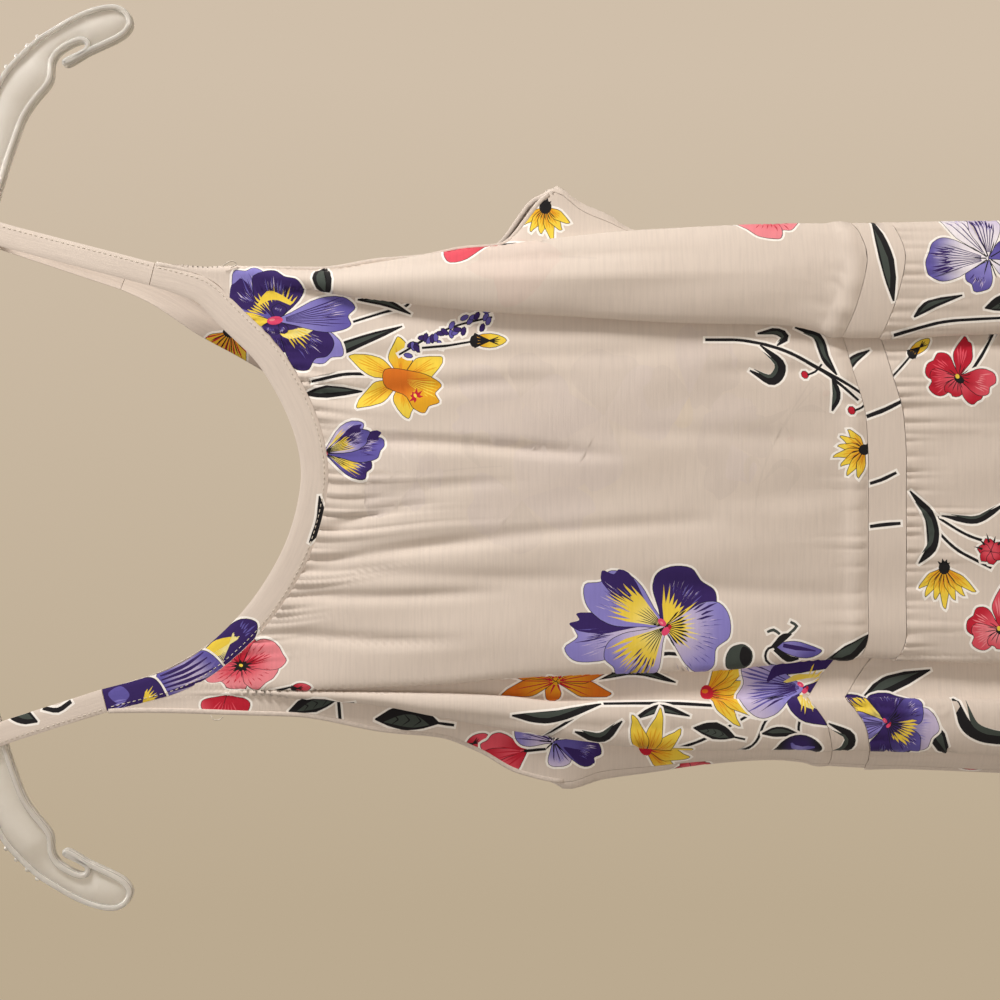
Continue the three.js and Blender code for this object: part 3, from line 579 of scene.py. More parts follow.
    def outline(self):
        """The panel's flat outline, and the flat lattice inside it: fine in the gathers."""
        lattice = LATTICES[self.kind]
        near_top = np.nonzero(self.z > self.upper.min() - 10)[0]
        fine = self.columns(near_top, 1.35, 0.55)
        coarse = self.columns(slice(None), lattice.column, 0.42)
        high, low = self.seams(fine)
        bands = []
        if lattice.top:
            bands.append(self.grid(fine, high - np.arange(1.6, lattice.top, 2.4)[:, None])[:, 1:-1])
        if lattice.bottom:
            bands.append(self.grid(fine, low + np.arange(1.4, lattice.bottom, 2.8)[:, None])[:, 1:-1])
        self.fine_count = bands[0].size // 2 if bands else 0
        upper, lower = self.seams(coarse)
        upper, lower = upper - lattice.top, lower + lattice.bottom
        rows = max(2, int((upper.mean() - lower.mean()) / lattice.row))
        v = np.linspace(0, 1, rows + 1)[:, None]
        between = self.grid(coarse, upper * (1 - v) + lower * v)
        bands.append(between[0 if lattice.top else 1 : None if lattice.bottom else -1, 1:-1])
        foot = coarse if self.kind == "skirt" else fine
        sides = []
        for end in (self.side.last, 0):
            top, bottom = self.seams(end)
            steps = int((top - bottom) / lattice.row) + 2
            sides.append(self.grid(float(end), top - np.linspace(0, top - bottom, steps)[1:-1, None])[:, 0])
        head_row = self.grid(fine, high[None])[0]
        foot_row = self.grid(foot, self.seams(foot)[1][None])[0]
        rim = np.concatenate((head_row, sides[0], foot_row[::-1], sides[1][::-1]))
        return rim, np.concatenate([band.reshape(-1, 2) for band in bands])


def inside(points, polygon):
    """Which points lie in a polygon."""
    result = np.zeros(len(points), bool)
    low, high = polygon.min(axis=0), polygon.max(axis=0)
    near = np.nonzero(np.all((points >= low) & (points <= high), axis=1))[0]
    if len(near) == 0:
        return result
    x, y = points[near, 0], points[near, 1]
    odd = np.zeros(len(near), bool)
    ends = np.roll(polygon, -1, axis=0)
    for (x0, y0), (x1, y1) in zip(polygon, ends):
        if y0 != y1:
            crosses = ((y0 > y) != (y1 > y)) & (x < (x1 - x0) * (y - y0) / (y1 - y0) + x0)
            odd ^= crosses
    result[near] = odd
    return result


def to_linear(colour):
    c = np.asarray(colour, float) / 255
    return np.where(c <= 0.04045, c / 12.92, ((c + 0.055) / 1.055) ** 2.4)


GROUND = to_linear((221, 207, 194))
FINE_SLACK = 0.12  # how far a printed outline may be off, in millimetres
COARSE_SLACK = 0.35  # and the same out of the photo's view


def thinned(outline, slack):
    """Drops the points of an outline that lie almost on the line between their neighbours."""
    for first in (1, 0, 1, 0):
        if len(outline) < 7:
            break
        before, after = np.roll(outline, 1, axis=0), np.roll(outline, -1, axis=0)
        chord, reach = after - before, outline - before
        off = np.abs(chord[:, 0] * reach[:, 1] - chord[:, 1] * reach[:, 0])
        drop = off < slack * np.maximum(np.linalg.norm(chord, axis=1), 1e-9)
        drop[1 - first :: 2] = False
        drop[-1] = False
        outline = outline[~drop]
    return outline


def triangulate(rim, lattice, layers):
    """Cuts a flat panel into triangles along its rim and its printed shapes."""
    points, edges = [], []

    def loop(polygon):
        start = len(points)
        points.extend(polygon.tolist())
        count = len(polygon)
        edges.extend((start + i, start + (i + 1) % count) for i in range(count))

    loop(rim)
    low, high = rim.min(axis=0) - 2, rim.max(axis=0) + 2
    shown = []
    for layer in layers:
        polygon = layer["polygon"]
        if np.all(polygon.max(axis=0) > low) and np.all(polygon.min(axis=0) < high):
            slack = min(FINE_SLACK, 0.01 * np.ptp(polygon, axis=0).max())
            polygon = thinned(polygon, COARSE_SLACK if polygon[0, 1] < VIEW_FOOT else slack)
            loop(polygon)
            shown.append((polygon, layer["colour"]))
    points.extend(lattice.tolist())
    found = delaunay_2d_cdt([Vector(p) for p in points], edges, [], 0, 1e-4, False)
    flat = np.array([tuple(v) for v in found[0]])
    triangles = np.array(found[2])
    centres = flat[triangles].mean(axis=1)
    kept = inside(centres, rim)
    triangles, centres = triangles[kept], centres[kept]
    a, b, c = (flat[triangles[:, i]] for i in range(3))
    triangles = np.where(np.cross(b - a, c - a)[:, None] > 0, triangles, triangles[:, ::-1])
    colours = np.tile(GROUND, (len(triangles), 3, 1))
    order = np.argsort(centres[:, 1])
    heights = centres[order, 1]
    for polygon, colour in shown:
        lowest, highest = np.searchsorted(heights, (polygon[:, 1].min(), polygon[:, 1].max()))
        near = order[lowest:highest]
        pick = near[inside(centres[near], polygon)]
        if len(pick):
            corners = flat[triangles[pick]].reshape(-1, 2)
            colours[pick] = colour(corners).reshape(-1, 3, 3)
    used = np.unique(triangles)
    renumber = np.zeros(len(flat), int)
    renumber[used] = np.arange(len(used))
    return flat[used], renumber[triangles], colours


def rim_edges(triangles):
    """Directed edges that belong to one triangle only."""
    edges = np.concatenate((triangles[:, [0, 1]], triangles[:, [1, 2]], triangles[:, [2, 0]]))
    key = np.sort(edges, axis=1)
    order = key[:, 0].astype(np.int64) * (key.max() + 1) + key[:, 1]
    _, first, count = np.unique(order, return_index=True, return_counts=True)
    return edges[first[count == 1]]


def ring_of(triangles):
    """The rim's vertices in their order round it."""
    following = dict(rim_edges(triangles).tolist())
    ring = [min(following)]
    while following[ring[-1]] != ring[0]:
        ring.append(following[ring[-1]])
    return np.array(ring)


def linked(name, data):
    """A new object in the scene."""
    made = bpy.data.objects.new(name, data)
    bpy.context.scene.collection.objects.link(made)
    return made


def write_shell(name, points, faces, flat, shades, normals):
    """Writes a mesh with the weave's coordinates, and colours and normals at its faces' corners."""
    mesh = bpy.data.meshes.new(name)
    mesh.vertices.add(len(points))
    mesh.vertices.foreach_set("co", (points / 1000).astype(np.float32).ravel())
    mesh.loops.add(faces.size)
    mesh.loops.foreach_set("vertex_index", faces.astype(np.int32).ravel())
    mesh.polygons.add(len(faces))
    mesh.polygons.foreach_set("loop_start", np.arange(0, faces.size, 3, dtype=np.int32))
    mesh.polygons.foreach_set("use_smooth", np.ones(len(faces), bool))
    weave = mesh.uv_layers.new(name="Weave")
    weave.data.foreach_set("uv", (flat[faces.ravel()] / 1000).astype(np.float32).ravel())
    ink = mesh.color_attributes.new(name="Print", type="FLOAT_COLOR", domain="CORNER")
    rgba = np.concatenate((shades.reshape(-1, 3), np.ones((faces.size, 1))), axis=1)
    ink.data.foreach_set("color", rgba.astype(np.float32).ravel())
    mesh.update()
    mesh.validate()
    mesh.normals_split_custom_set(normals.reshape(-1, 3).tolist())
    return linked(name, mesh)


def make_shell(name, flat, triangles, colours, positions, normals, thickness, inner_ink, lining=None):
    """A closed thin shell; inner_ink says how much of the print the inner side shows.

    The lining is an unprinted inner side with its own triangles, which begins with the rim's points.
    """
    count = len(positions)
    half_thick = np.reshape(thickness, (-1, 1)) / 2
    outer = positions + normals * half_thick
    partner = np.arange(count)
    if lining is None:
        back_flat, back, back_normals = flat, triangles, normals
        inner = positions - normals * half_thick
        faded = mix(GROUND * 0.95, colours[:, ::-1], np.full((len(colours), 3), inner_ink))
    else:
        ring, back_flat, back, middle, back_normals = lining
        partner[ring] = np.arange(len(ring))
        inner = middle - back_normals * half_thick[0]
        faded = np.tile(GROUND * 0.95, (len(back), 3, 1))
    a, b, c = (outer[triangles[:, i]] for i in range(3))
    facing = np.einsum("ij,ij->i", np.cross(b - a, c - a), normals[triangles[:, 0]])
    if facing.sum() < 0:
        triangles, colours = triangles[:, ::-1], colours[:, ::-1]
        back, faded = back[:, ::-1], faded[:, ::-1]
    i, j = rim_edges(triangles).T
    under_i, under_j = partner[i] + count, partner[j] + count
    rim = np.concatenate((np.stack((j, i, under_i), axis=1), np.stack((j, under_i, under_j), axis=1)))
    points = np.concatenate((outer, inner))
    faces = np.concatenate((triangles, back[:, ::-1] + count, rim))
    shades = np.concatenate((colours, faded, np.tile(GROUND, (len(rim), 3, 1))))
    corner_normals = np.concatenate((normals, -back_normals))[faces]
    a, b, c = (points[rim[:, i]] for i in range(3))
    corner_normals[-len(rim) :] = unit(np.cross(b - a, c - a))[:, None]
    return write_shell(name, points, faces, np.concatenate((flat, back_flat)), shades, corner_normals)


# The print's inks, in sRGB
INK = {
    name: to_linear(rgb)
    for name, rgb in {
        "halo": (252, 246, 238),
        "black": (20, 17, 20),
        "leaf": (66, 74, 68),
        "purple": (52, 30, 98),
        "violet": (98, 88, 168),
        "lavender": (140, 132, 205),
        "lilac": (205, 192, 222),
        "white": (240, 233, 238),
        "yellow": (244, 212, 70),
        "pale": (246, 232, 150),
        "gold": (232, 168, 28),
        "orange": (216, 112, 22),
        "red": (192, 24, 48),
        "rose": (226, 82, 98),
        "pink": (238, 138, 146),
        "magenta": (230, 70, 112),
    }.items()
}


def mix(a, b, share):
    share = np.asarray(share, float)[..., None]
    return a * (1 - share) + b * share


def plain(name):
    return lambda points: np.broadcast_to(INK[name], (len(points), 3))


def fade(inner, outer, start, end, middle=(0, 0)):
    """Runs from one ink to another with the distance from a point."""
    def colour(points):
        distance = np.linalg.norm(points - middle, axis=1)
        return mix(INK[inner], INK[outer], ease(start, end, distance))

    return colour


def turned(points, degrees):
    c, s = np.cos(np.radians(degrees)), np.sin(np.radians(degrees))
    return points @ np.array([[c, s], [-s, c]])


def closed_curve(points, count):
    """Count points of the closed smooth curve through points."""
    places = 1 + np.arange(count) * len(points) / count
    return through(np.concatenate((points, points[:3])), places)


def rounded(points, step=1.5):
    """A closed smooth outline through points."""
    points = np.asarray(points, float)
    reach = np.linalg.norm(points - np.roll(points, 1, axis=0), axis=1).sum()
    return closed_curve(points, max(8, min(46, int(reach / step))))


def body(outline, colour):
    return {"outline": outline, "colour": colour, "solid": True}


def mark(outline, colour):
    return {"outline": outline, "colour": colour, "solid": False}


def petal(angle, length, width, point=0.0, start=0.0):
    """A petal from the flower's middle, a little uneven; point makes its end pointed."""
    shape = np.array(
        [
            (0, 0), (0.22, -0.2), (0.5, -0.44), (0.72, -0.5 + 0.2 * point), (0.9, -0.36 + 0.2 * point),
            (0.93 + 0.06 * point, -0.12), (1.03 + 0.04 * point, 0.08), (0.93, 0.36 - 0.22 * point),
            (0.74, 0.49 - 0.16 * point), (0.5, 0.44), (0.22, 0.2),
        ]
    )
    uneven = hashed(np.arange(len(shape)), angle * 0.37 + length) - 0.5
    shape[1:] *= 1 + (0.1 - 0.06 * point) * uneven[1:, None]
    outline = rounded(shape * (length - start, width))
    outline[:, 0] += start
    return turned(outline, angle)


def burst(angle, spread, inner, outer, count, salt=0.0):
    """A feathered fan round the flower's middle."""
    steps = np.arange(2 * count + 1)
    bearing = np.radians(angle + spread * (steps / (2 * count) - 0.5))
    tip = steps % 2 == 1
    tips, valleys = 0.72 + 0.4 * hashed(steps, salt), 0.85 + 0.3 * hashed(steps, salt)
    reach = np.where(tip, outer * tips, inner * valleys)
    fan = np.stack((reach * np.cos(bearing), reach * np.sin(bearing)), axis=1)
    return np.concatenate((fan, np.zeros((1, 2))))


def rays(angle, spread, start, end, count, width, colour, ragged=0.0):
    """Thin tapered streaks that fan out from the flower's middle."""
    found = []
    for i in range(count):
        bearing = angle + spread * ((i + 0.5) / count - 0.5)
        near = start * (1 + ragged * hashed(i, angle + 3))
        far = end * (0.8 + 0.3 * hashed(i, angle))
        room = 0.85 * np.radians(spread) / count
        root = max(0.06, min(width, room * abs(near)))
        waist = max(0.06, min(width * 0.7, room * abs(far) * 0.75))
        streak = np.array([(near, -root / 2), (far * 0.75, -waist / 2), (far, 0), (near, root / 2)])
        if ragged:
            streak[0], streak[3] = (near, 0), (far * 0.85, width * 0.4)
        found.append(mark(turned(streak, bearing), colour))
    return found


def stroke(points, widths, step=2.2):
    """A tapered brush stroke along a smooth line."""
    points = np.asarray(points, float)
    reach = np.linalg.norm(np.diff(points, axis=0), axis=1).sum()
    places = np.linspace(0, len(points) - 1, max(5, int(reach / step) + 1))
    line = through(points, places)
    along = unit(np.gradient(line, axis=0))
    across = np.stack((-along[:, 1], along[:, 0]), axis=1)
    half = np.interp(places, np.linspace(0, len(points) - 1, len(widths)), widths)[:, None] / 2
    return np.concatenate((line + across * half, (line - across * half)[::-1]))


def stem(points, width=0.65):
    return [body(stroke(points, (width * 0.7, width * 0.85, width * 0.6)), plain("black"))]


def leaf(points, width, grey=True):
    """A dark leaf with a paler side."""
    points = np.asarray(points, float)
    parts = [body(stroke(points, (0.4, width * 0.75, width, width * 0.7, 0.2)), plain("black"))]
    if grey:
        shifted = points + turned(unit(points[-1:] - points[:1]), 90) * width * 0.16
        inner = shifted * 0.72 + points.mean(axis=0) * 0.28
        parts.append(mark(stroke(inner, (0.2, width * 0.42, width * 0.5, width * 0.3, 0.1)), plain("leaf")))
    return parts


def blob(x, y, length, width, angle, colour, solid=True):
    bearing = np.arange(8) * np.pi / 4
    oval = np.stack((length / 2 * np.cos(bearing), width / 2 * np.sin(bearing)), axis=1)
    return {"outline": turned(rounded(oval), angle) + (x, y), "colour": colour, "solid": solid}


def shifted(parts, x, y):
    return [dict(part, outline=part["outline"] + (x, y)) for part in parts]


# The ink that an ink is brushed with
BRUSHED = {
    "white": "lilac", "lavender": "violet", "lilac": "lavender",
    "violet": "purple", "purple": "violet", "yellow": "gold",
}


def pansy_petal(angle, length, width, near, far, yellow=0.0, dark=0.0, stripes=0, edge=None):
    """One pansy petal: brushed, with a feathered yellow blotch, dark whiskers or stripes."""
    parts = [body(petal(angle, length, width), fade(near, far, length * 0.35, length * 0.95))]
    fan = width / length
    if edge:
        side, ink = edge
        shape = petal(angle + side * 13, length * 0.95, width * 0.5, start=length * 0.22)
        parts.append(mark(shape, plain(ink)))
        parts += rays(angle + side * 2, fan * 12, length * 0.45, length * 0.86, 4, 1.4, plain(ink), 0.4)
    parts += rays(angle, fan * 40, length * 0.58, length * 0.82, 9, 0.9, plain(BRUSHED[far]), 0.3)
    parts += rays(angle + 4, fan * 36, length * 0.72, length * 0.84, 8, 0.8, plain("lilac"), 0.12)
    if stripes:
        parts += rays(angle, fan * 62, length * 0.12, length * 0.92, stripes, 1.2, plain("purple"))
    if yellow:
        reach = length * yellow
        spread = min(58, fan * 72)
        blotch = burst(angle, spread, reach * 0.66, reach, 9, angle)
        parts.append(mark(blotch, fade("pale", "yellow", 3, length * 0.5)))
        parts += rays(angle, spread, reach * 0.5, reach * 1.05, 8, 0.9, plain("yellow"), 0.4)
    if dark:
        reach = length * dark
        parts.append(mark(burst(angle, 50, reach * 0.3, reach * 0.85, 7, angle + 1), plain("black")))
        parts += rays(angle, min(56, fan * 66), length * 0.1, reach * 1.6, 7, 0.9, plain("black"))
    return parts


def pansy_eye(size=1.0):
    return [
        blob(-1.9 * size, -0.7, 4.6 * size, 3 * size, -40, plain("magenta"), False),
        blob(1.9 * size, 1.1, 4.4 * size, 2.8 * size, 50, plain("magenta"), False),
        blob(1.7 * size, 1.3, 1.6 * size, 0.9 * size, 50, plain("pink"), False),
        blob(0, -2.4 * size, 2.2 * size, 1.6 * size, 0, plain("red"), False),
    ]


def grand_pansy():
    return [
        *pansy_petal(100, 49, 22, "lilac", "lavender", edge=(-1, "purple")),
        *pansy_petal(59, 42, 27, "lavender", "lavender", yellow=0.74, dark=0.24, edge=(-1, "purple")),
        *pansy_petal(136, 35, 29, "lilac", "lavender", yellow=0.8, dark=0.26),
        *rays(148, 34, 15, 27, 6, 1.3, plain("purple"), 0.3),
        *pansy_petal(-30, 30, 35, "purple", "purple"),
        *pansy_petal(256, 31, 36, "lilac", "lavender"),
        *rays(238, 84, 22, 27, 16, 0.9, plain("violet"), 0.16),
        *rays(300, 40, 15, 28, 7, 1.8, plain("purple"), 0.3),
        mark(burst(258, 84, 9, 17, 9, 5.0), fade("yellow", "pale", 8, 16)),
        mark(burst(-26, 62, 11, 20, 7, 6.0), plain("yellow")),
        *rays(262, 120, 2, 13, 12, 1.3, plain("black"), 0.5),
        mark(burst(265, 110, 2.5, 7, 8, 8.0), plain("black")),
        *pansy_eye(1.15),
    ]


def climbing_pansy():
    return [
        *pansy_petal(238, 34, 18, "lilac", "lavender"),
        *pansy_petal(80, 18, 12, "yellow", "yellow"),
        *pansy_petal(40, 28, 20, "violet", "lavender", edge=(1, "purple")),
        *pansy_petal(-2, 23, 24, "purple", "purple"),
        *pansy_petal(196, 18, 20, "purple", "purple"),
        *pansy_petal(229, 30, 24, "purple", "purple"),
        *rays(52, 60, 6, 18, 9, 1.6, plain("yellow"), 0.6),
        mark(stroke([(9, 9), (13, 5), (13, 0), (9, -7)], (1, 4.4, 3.4, 2)), fade("pale", "yellow", 6, 12)),
        *rays(-12, 60, 10, 17, 7, 1.3, plain("yellow"), 0.2),
        mark(
            stroke([(-5, 0), (-8, -5), (-6.5, -12), (-4.5, -17)], (1, 5, 5, 2)),
            fade("yellow", "pale", 6, 14),
        ),
        *rays(232, 50, 9, 19, 8, 1.3, plain("yellow"), 0.3),
        *pansy_petal(277, 37, 18, "lavender", "violet", stripes=9),
        *pansy_petal(200, 8, 7, "purple", "purple"),
        *pansy_petal(150, 9, 9, "purple", "purple"),
        *pansy_petal(-10, 9, 7, "purple", "purple"),
        blob(0, 1, 4.6, 8, 8, plain("magenta"), False),
        blob(0.4, 2.4, 1.6, 3, 8, plain("pink"), False),
    ]


def drooping_pansy():
    return [
        *pansy_petal(-60, 21, 12, "lilac", "lavender", yellow=0.6),
        *pansy_petal(250, 24, 11, "violet", "purple", yellow=0.75, dark=0.35),
        *pansy_petal(272, 29, 11, "violet", "violet", edge=(1, "purple")),
        *pansy_petal(289, 22, 9, "lilac", "violet", yellow=0.6, dark=0.4, edge=(1, "purple")),
        *pansy_eye(0.45),
    ]


def fanned_pansy():
    return [
        body(stroke([(1.8, 19), (8.5, 12), (11, 1), (12.5, -18)], (1, 6.5, 7.5, 4)), plain("purple")),
        body(stroke([(-2, 3), (-9, 5), (-14.5, 0), (-18, -11)], (2, 7, 7.5, 5)), plain("purple")),
        *pansy_petal(94, 30, 32, "lavender", "lilac", stripes=11),
        *rays(94, 52, 6, 29, 12, 1.2, plain("violet"), 0.5),
        mark(stroke([(3, 17), (8.5, 12), (10.5, 2), (12, -16)], (1, 5.6, 6.5, 3)), plain("purple")),
        mark(stroke([(2.6, 9), (5, 3), (6, -8)], (1, 3, 1)), fade("yellow", "pale", 4, 12)),
        *rays(-55, 70, 5, 12, 6, 1.1, plain("yellow"), 0.4),
        mark(stroke([(-4, 1), (-9, 2), (-12.5, -4)], (1, 3.2, 1.4)), fade("yellow", "pale", 4, 12)),
        *rays(190, 44, 5, 14, 6, 1.1, plain("yellow"), 0.4),
        *rays(92, 40, 2, 15, 7, 1.4, plain("purple")),
        *pansy_petal(265, 20, 12, "purple", "violet"),
        *pansy_eye(0.8),
    ]


def dusky_pansy():
    return [
        *pansy_petal(64, 26, 17, "purple", "purple", yellow=0.85),
        *pansy_petal(100, 19, 15, "lavender", "lavender", stripes=6),
        *pansy_petal(188, 19, 22, "purple", "purple"),
        *pansy_petal(-12, 17, 22, "purple", "purple"),
        *pansy_petal(258, 24, 22, "violet", "lilac"),
        *pansy_petal(224, 20, 14, "purple", "violet"),
        *pansy_petal(296, 19, 13, "purple", "violet"),
        *rays(248, 60, 5, 14, 8, 1.8, plain("yellow"), 0.5),
        *rays(215, 30, 5, 11, 4, 1.6, plain("yellow"), 0.5),
        *rays(262, 130, 2, 9, 10, 1.2, plain("black")),
        *pansy_eye(0.6),
    ]


def veined_violet():
    return [
        *pansy_petal(152, 15, 12, "lavender", "violet"),
        *pansy_petal(32, 29, 13, "white", "white", stripes=4),
        *pansy_petal(2, 24, 14, "white", "lilac", stripes=6),
        *rays(2, 30, 14, 22, 7, 1.6, plain("purple"), 0.3),
        *pansy_petal(90, 27, 19, "white", "violet", stripes=9),
        *rays(90, 36, 15, 24, 10, 1.7, plain("purple"), 0.3),
        *pansy_petal(246, 13, 10, "white", "lavender"),
        *pansy_petal(296, 14, 10, "violet", "purple"),
        *rays(90, 330, 1, 9, 9, 1.1, plain("black")),
    ]


def small_violet():
    return [
        *pansy_petal(70, 17, 12, "lilac", "lavender", stripes=4),
        *pansy_petal(200, 11, 10, "lavender", "lilac", stripes=3),
        *pansy_petal(255, 20, 12, "violet", "purple", edge=(-1, "purple")),
        *rays(90, 320, 1, 6, 7, 1.3, plain("black")),
    ]


def poppy(red="rose", light="pink"):
    parts = [
        body(petal(150, 16, 18), fade(red, light, 4, 13)),
        body(petal(88, 19, 27), fade(red, light, 5, 16)),
        body(petal(15, 17, 20), fade("red", red, 6, 15)),
        body(petal(232, 17, 20), fade(red, light, 4, 13)),
        body(petal(296, 20, 21), fade(red, light, 4, 15)),
        mark(burst(100, 150, 6, 12, 8, 2.0), plain(red)),
        mark(burst(296, 44, 6, 14, 4, 3.0), plain("red")),
        mark(burst(20, 44, 5, 12, 4, 5.0), plain("red")),
    ]
    parts += rays(90, 340, 9, 15, 30, 0.9, plain("red"), 0.4)
    parts += rays(90, 340, 11, 15, 24, 0.8, plain("pink"), 0.25)
    parts += rays(180, 350, 1, 8.5, 17, 0.9, plain("black"))
    parts.append(mark(burst(90, 359, 2.8, 5.4, 9, 4.0)[:-1], plain("black")))
    parts.append(blob(0.3, 0.4, 2.4, 1.8, 20, plain("yellow"), False))
    return parts


def side_poppy(red="red", light="rose"):
    """A poppy seen from the side, its petals uneven."""
    return [
        body(petal(-14, 19, 10, 0.6), fade("red", red, 4, 13)),
        body(petal(62, 15, 15), fade(red, "red", 4, 13)),
        body(petal(106, 14, 13), fade(light, red, 4, 12)),
        body(petal(160, 9, 9), fade(light, red, 3, 9)),
        body(petal(222, 15, 9), fade(light, red, 4, 13)),
        body(petal(258, 17, 13), fade(red, light, 4, 15)),
        *rays(258, 40, 8, 15, 8, 0.9, plain("pink"), 0.3),
        *rays(85, 90, 6, 13, 14, 0.9, plain(light), 0.4),
        *rays(-10, 24, 4, 16, 4, 1.2, plain(light), 0.5),
        *rays(200, 320, 1, 7, 15, 1.0, plain("black")),
        blob(-1, -0.4, 5.4, 3.6, 60, plain("black"), False),
        blob(0.4, 0.4, 2.4, 2, 20, plain("yellow"), False),
    ]


def pink_side_poppy():
    return side_poppy("rose", "pink")


def red_petals():
    return [
        body(petal(140, 14, 15), fade("red", "rose", 9, 15)),
        body(petal(205, 13, 14), plain("red")),
        *rays(170, 80, 4, 12, 7, 0.9, plain("rose"), 0.4),
    ]


def daffodil():
    parts = [
        body(petal(angle, length, width, 0.8), fade("gold", "yellow", 5, 15))
        for angle, length, width in ((120, 24, 11), (66, 26, 11), (2, 19, 13), (296, 21, 13), (188, 18, 12))
    ]
    for angle, length in ((120, 21), (66, 22), (2, 15), (296, 17), (188, 15)):
        parts += rays(angle, 20, 3, length, 5, 0.8, plain("gold"), 0.6)
        parts += rays(angle + 3, 16, 2, length * 0.7, 3, 0.9, plain("orange"))
    trumpet = rounded(
        [(4, 8), (4, -3), (1, -14), (-3, -19), (-7, -16), (-11, -18), (-13, -13), (-16, -11), (-14, -6),
         (-8, -2), (-3, 8)],
        1.0,
    )
    parts.append(body(trumpet, fade("orange", "gold", 5, 17, (-1, 3))))
    parts += rays(250, 34, 2, 18, 6, 1.0, plain("yellow"), 0.8)
    parts += rays(262, 26, 1, 14, 5, 1.0, plain("orange"))
    parts.append(blob(-8.5, -7.5, 8.5, 6.6, -35, plain("gold"), False))
    parts.append(mark(turned(burst(0, 300, 2, 4, 7, 3.0), 40) + (-8.5, -7), plain("red")))
    parts.append(blob(-8, -6.6, 2.2, 1.4, 30, plain("yellow"), False))
    return parts


def daisy(angle, spread, count, length, ink="yellow", eye="red", salt=1.0, width=5.5):
    """A daisy seen from the side or from the front, its rays fanned over spread."""
    parts = []
    for i in range(count):
        bearing = angle + spread * ((i + 0.5) / count - 0.5)
        reach = length * (0.82 + 0.3 * hashed(i, salt))
        shade = fade("gold" if ink == "yellow" else "orange", ink, reach * 0.2, reach * 0.8)
        parts.append(body(petal(bearing, reach, width, 0.9), shade))
        parts += rays(bearing, 22, reach * 0.25, reach * 0.8, 3, 0.9, plain("gold"), 0.5)
        parts += rays(bearing, 12, 2, reach * 0.6, 2, 1.0, plain("orange"))
    if eye == "black":
        back = angle + 180
        parts += rays(angle, spread * 0.8, 0, length * 0.55, 5, 1.5, plain("black"))
        parts.append(mark(burst(back, 120, 3, 5.5, 4, 2.0), plain("black")))
        parts.append(blob(0, 0, 7, 6, angle, plain("black"), False))
    else:
        parts.append(blob(0, 0, 7.5, 6, angle + 90, plain("red"), False))
        parts.append(blob(0.8, 0.8, 3, 2, angle, plain("orange"), False))
        parts += rays(angle, spread * 0.7, 2.5, 7, 5, 0.9, plain("red"))
    return parts


def lavender_sprig():
    parts = stem([(-12, 22), (-5, 10), (2, -6), (6, -22)], 0.6)
    for i in range(26):
        t = i / 26
        x = -10 + 17 * t + 8 * (hashed(i, 1) - 0.5)
        y = 19 - 42 * t + 2.5 * (hashed(i, 2) - 0.5)
        ink = "purple" if hashed(i, 3) > 0.35 else "violet"
        parts.append(blob(x, y, 4.2, 2.2, 360 * hashed(i, 4), plain(ink)))
    return parts


def yellow_bud():
    return [
        *stem([(-3.5, 32), (-2.5, 20), (-0.5, 8)], 0.7),
        body(
            rounded([(0, 9), (3, 3), (2.6, -4), (0, -8), (-3, -3), (-3, 3)]),
            fade("gold", "yellow", 3, 8, (0, 6)),
        ),
        *rays(-90, 60, -8, 5, 4, 1.4, plain("black")),
        blob(-0.3, 7.4, 6, 4, 0, plain("black"), False),
    ]


def red_bud(stalk=True):
    parts = stem([(-1, 16), (0, 9), (1, 4)], 0.7) if stalk else []
    shape = rounded([(0, 4), (3, 0), (2.4, -5), (0, -8), (-2.4, -4), (-2.6, 0)])
    parts.append(body(shape, fade("red", "rose", 2, 8, (0, 3))))
    parts += rays(-90, 70, -4, 3.6, 4, 1.3, plain("black"))
    return parts


def berry():
    fruit = blob(0, 0, 3.8, 3, 30, fade("rose", "red", 0, 2.5))
    return [fruit, *stem([(0, -1.5), (1.5, -5), (5, -8)], 0.6)]


def tulip():
    return [
        body(petal(68, 19, 11), fade("red", "rose", 4, 14)),
        body(petal(95, 22, 10), fade("rose", "red", 5, 18)),
        body(petal(122, 19, 9), fade("red", "rose", 4, 14)),
        *rays(95, 60, 3, 14, 5, 1.0, plain("red")),
        *stem([(0, 1), (-1, -8)], 1.0),
    ]


def dark_bud():
    return [
        body(
            rounded([(-8, 15), (3, 11), (8, 2), (6, -8), (0, -13), (-5, -8), (-8, 2)]),
            fade("purple", "black", 3, 12),
        ),
        mark(stroke([(3, 5), (0, 3), (-1, -3), (1, -9)], (1, 4, 4.6, 1)), fade("lavender", "violet", 1, 7)),
        mark(stroke([(2, 3), (1.2, -2), (1.6, -6)], (0.6, 1.4, 0.4)), plain("purple")),
    ]


def fuchsia():
    return [
        *stem([(-9, 10), (-4, 15), (1, 14), (3, 9)], 0.8),
        body(
            rounded([(3, 10), (5, 0), (2.5, -9), (0, -14), (-3.4, -8), (-2, 2)]),
            fade("lavender", "violet", 2, 10, (1, 2)),
        ),
        mark(stroke([(3, 6), (1.5, -2), (0, -11)], (2, 2.6, 0.5)), plain("purple")),
        body(stroke([(2, 11), (7, 6), (9, 2)], (2, 3.4, 0.6)), plain("black")),
        body(stroke([(1, 10), (-4, 3), (-4, -2)], (2, 3.2, 0.6)), plain("black")),
        body(stroke([(9, 3), (13, -1), (15, 2)], (0.7, 1, 0.7)), plain("leaf")),
        body(stroke([(9, 8), (11, 11), (10, 14)], (0.7, 1, 0.7)), plain("leaf")),
    ]


def veined_leaf(length=22, width=9):
    parts = leaf([(0, -length / 2), (width * 0.12, 0), (0, length / 2)], width)
    parts += stem([(0, -length * 0.75), (0, -length / 2)], 0.7)
    parts += [mark(turned(np.array([(0, -0.25), (width * 0.42, 0), (0, 0.25)]), a) + (0, y), plain("black"))
              for y in (-5, -1, 3) for a in (50, 130)]
    return parts


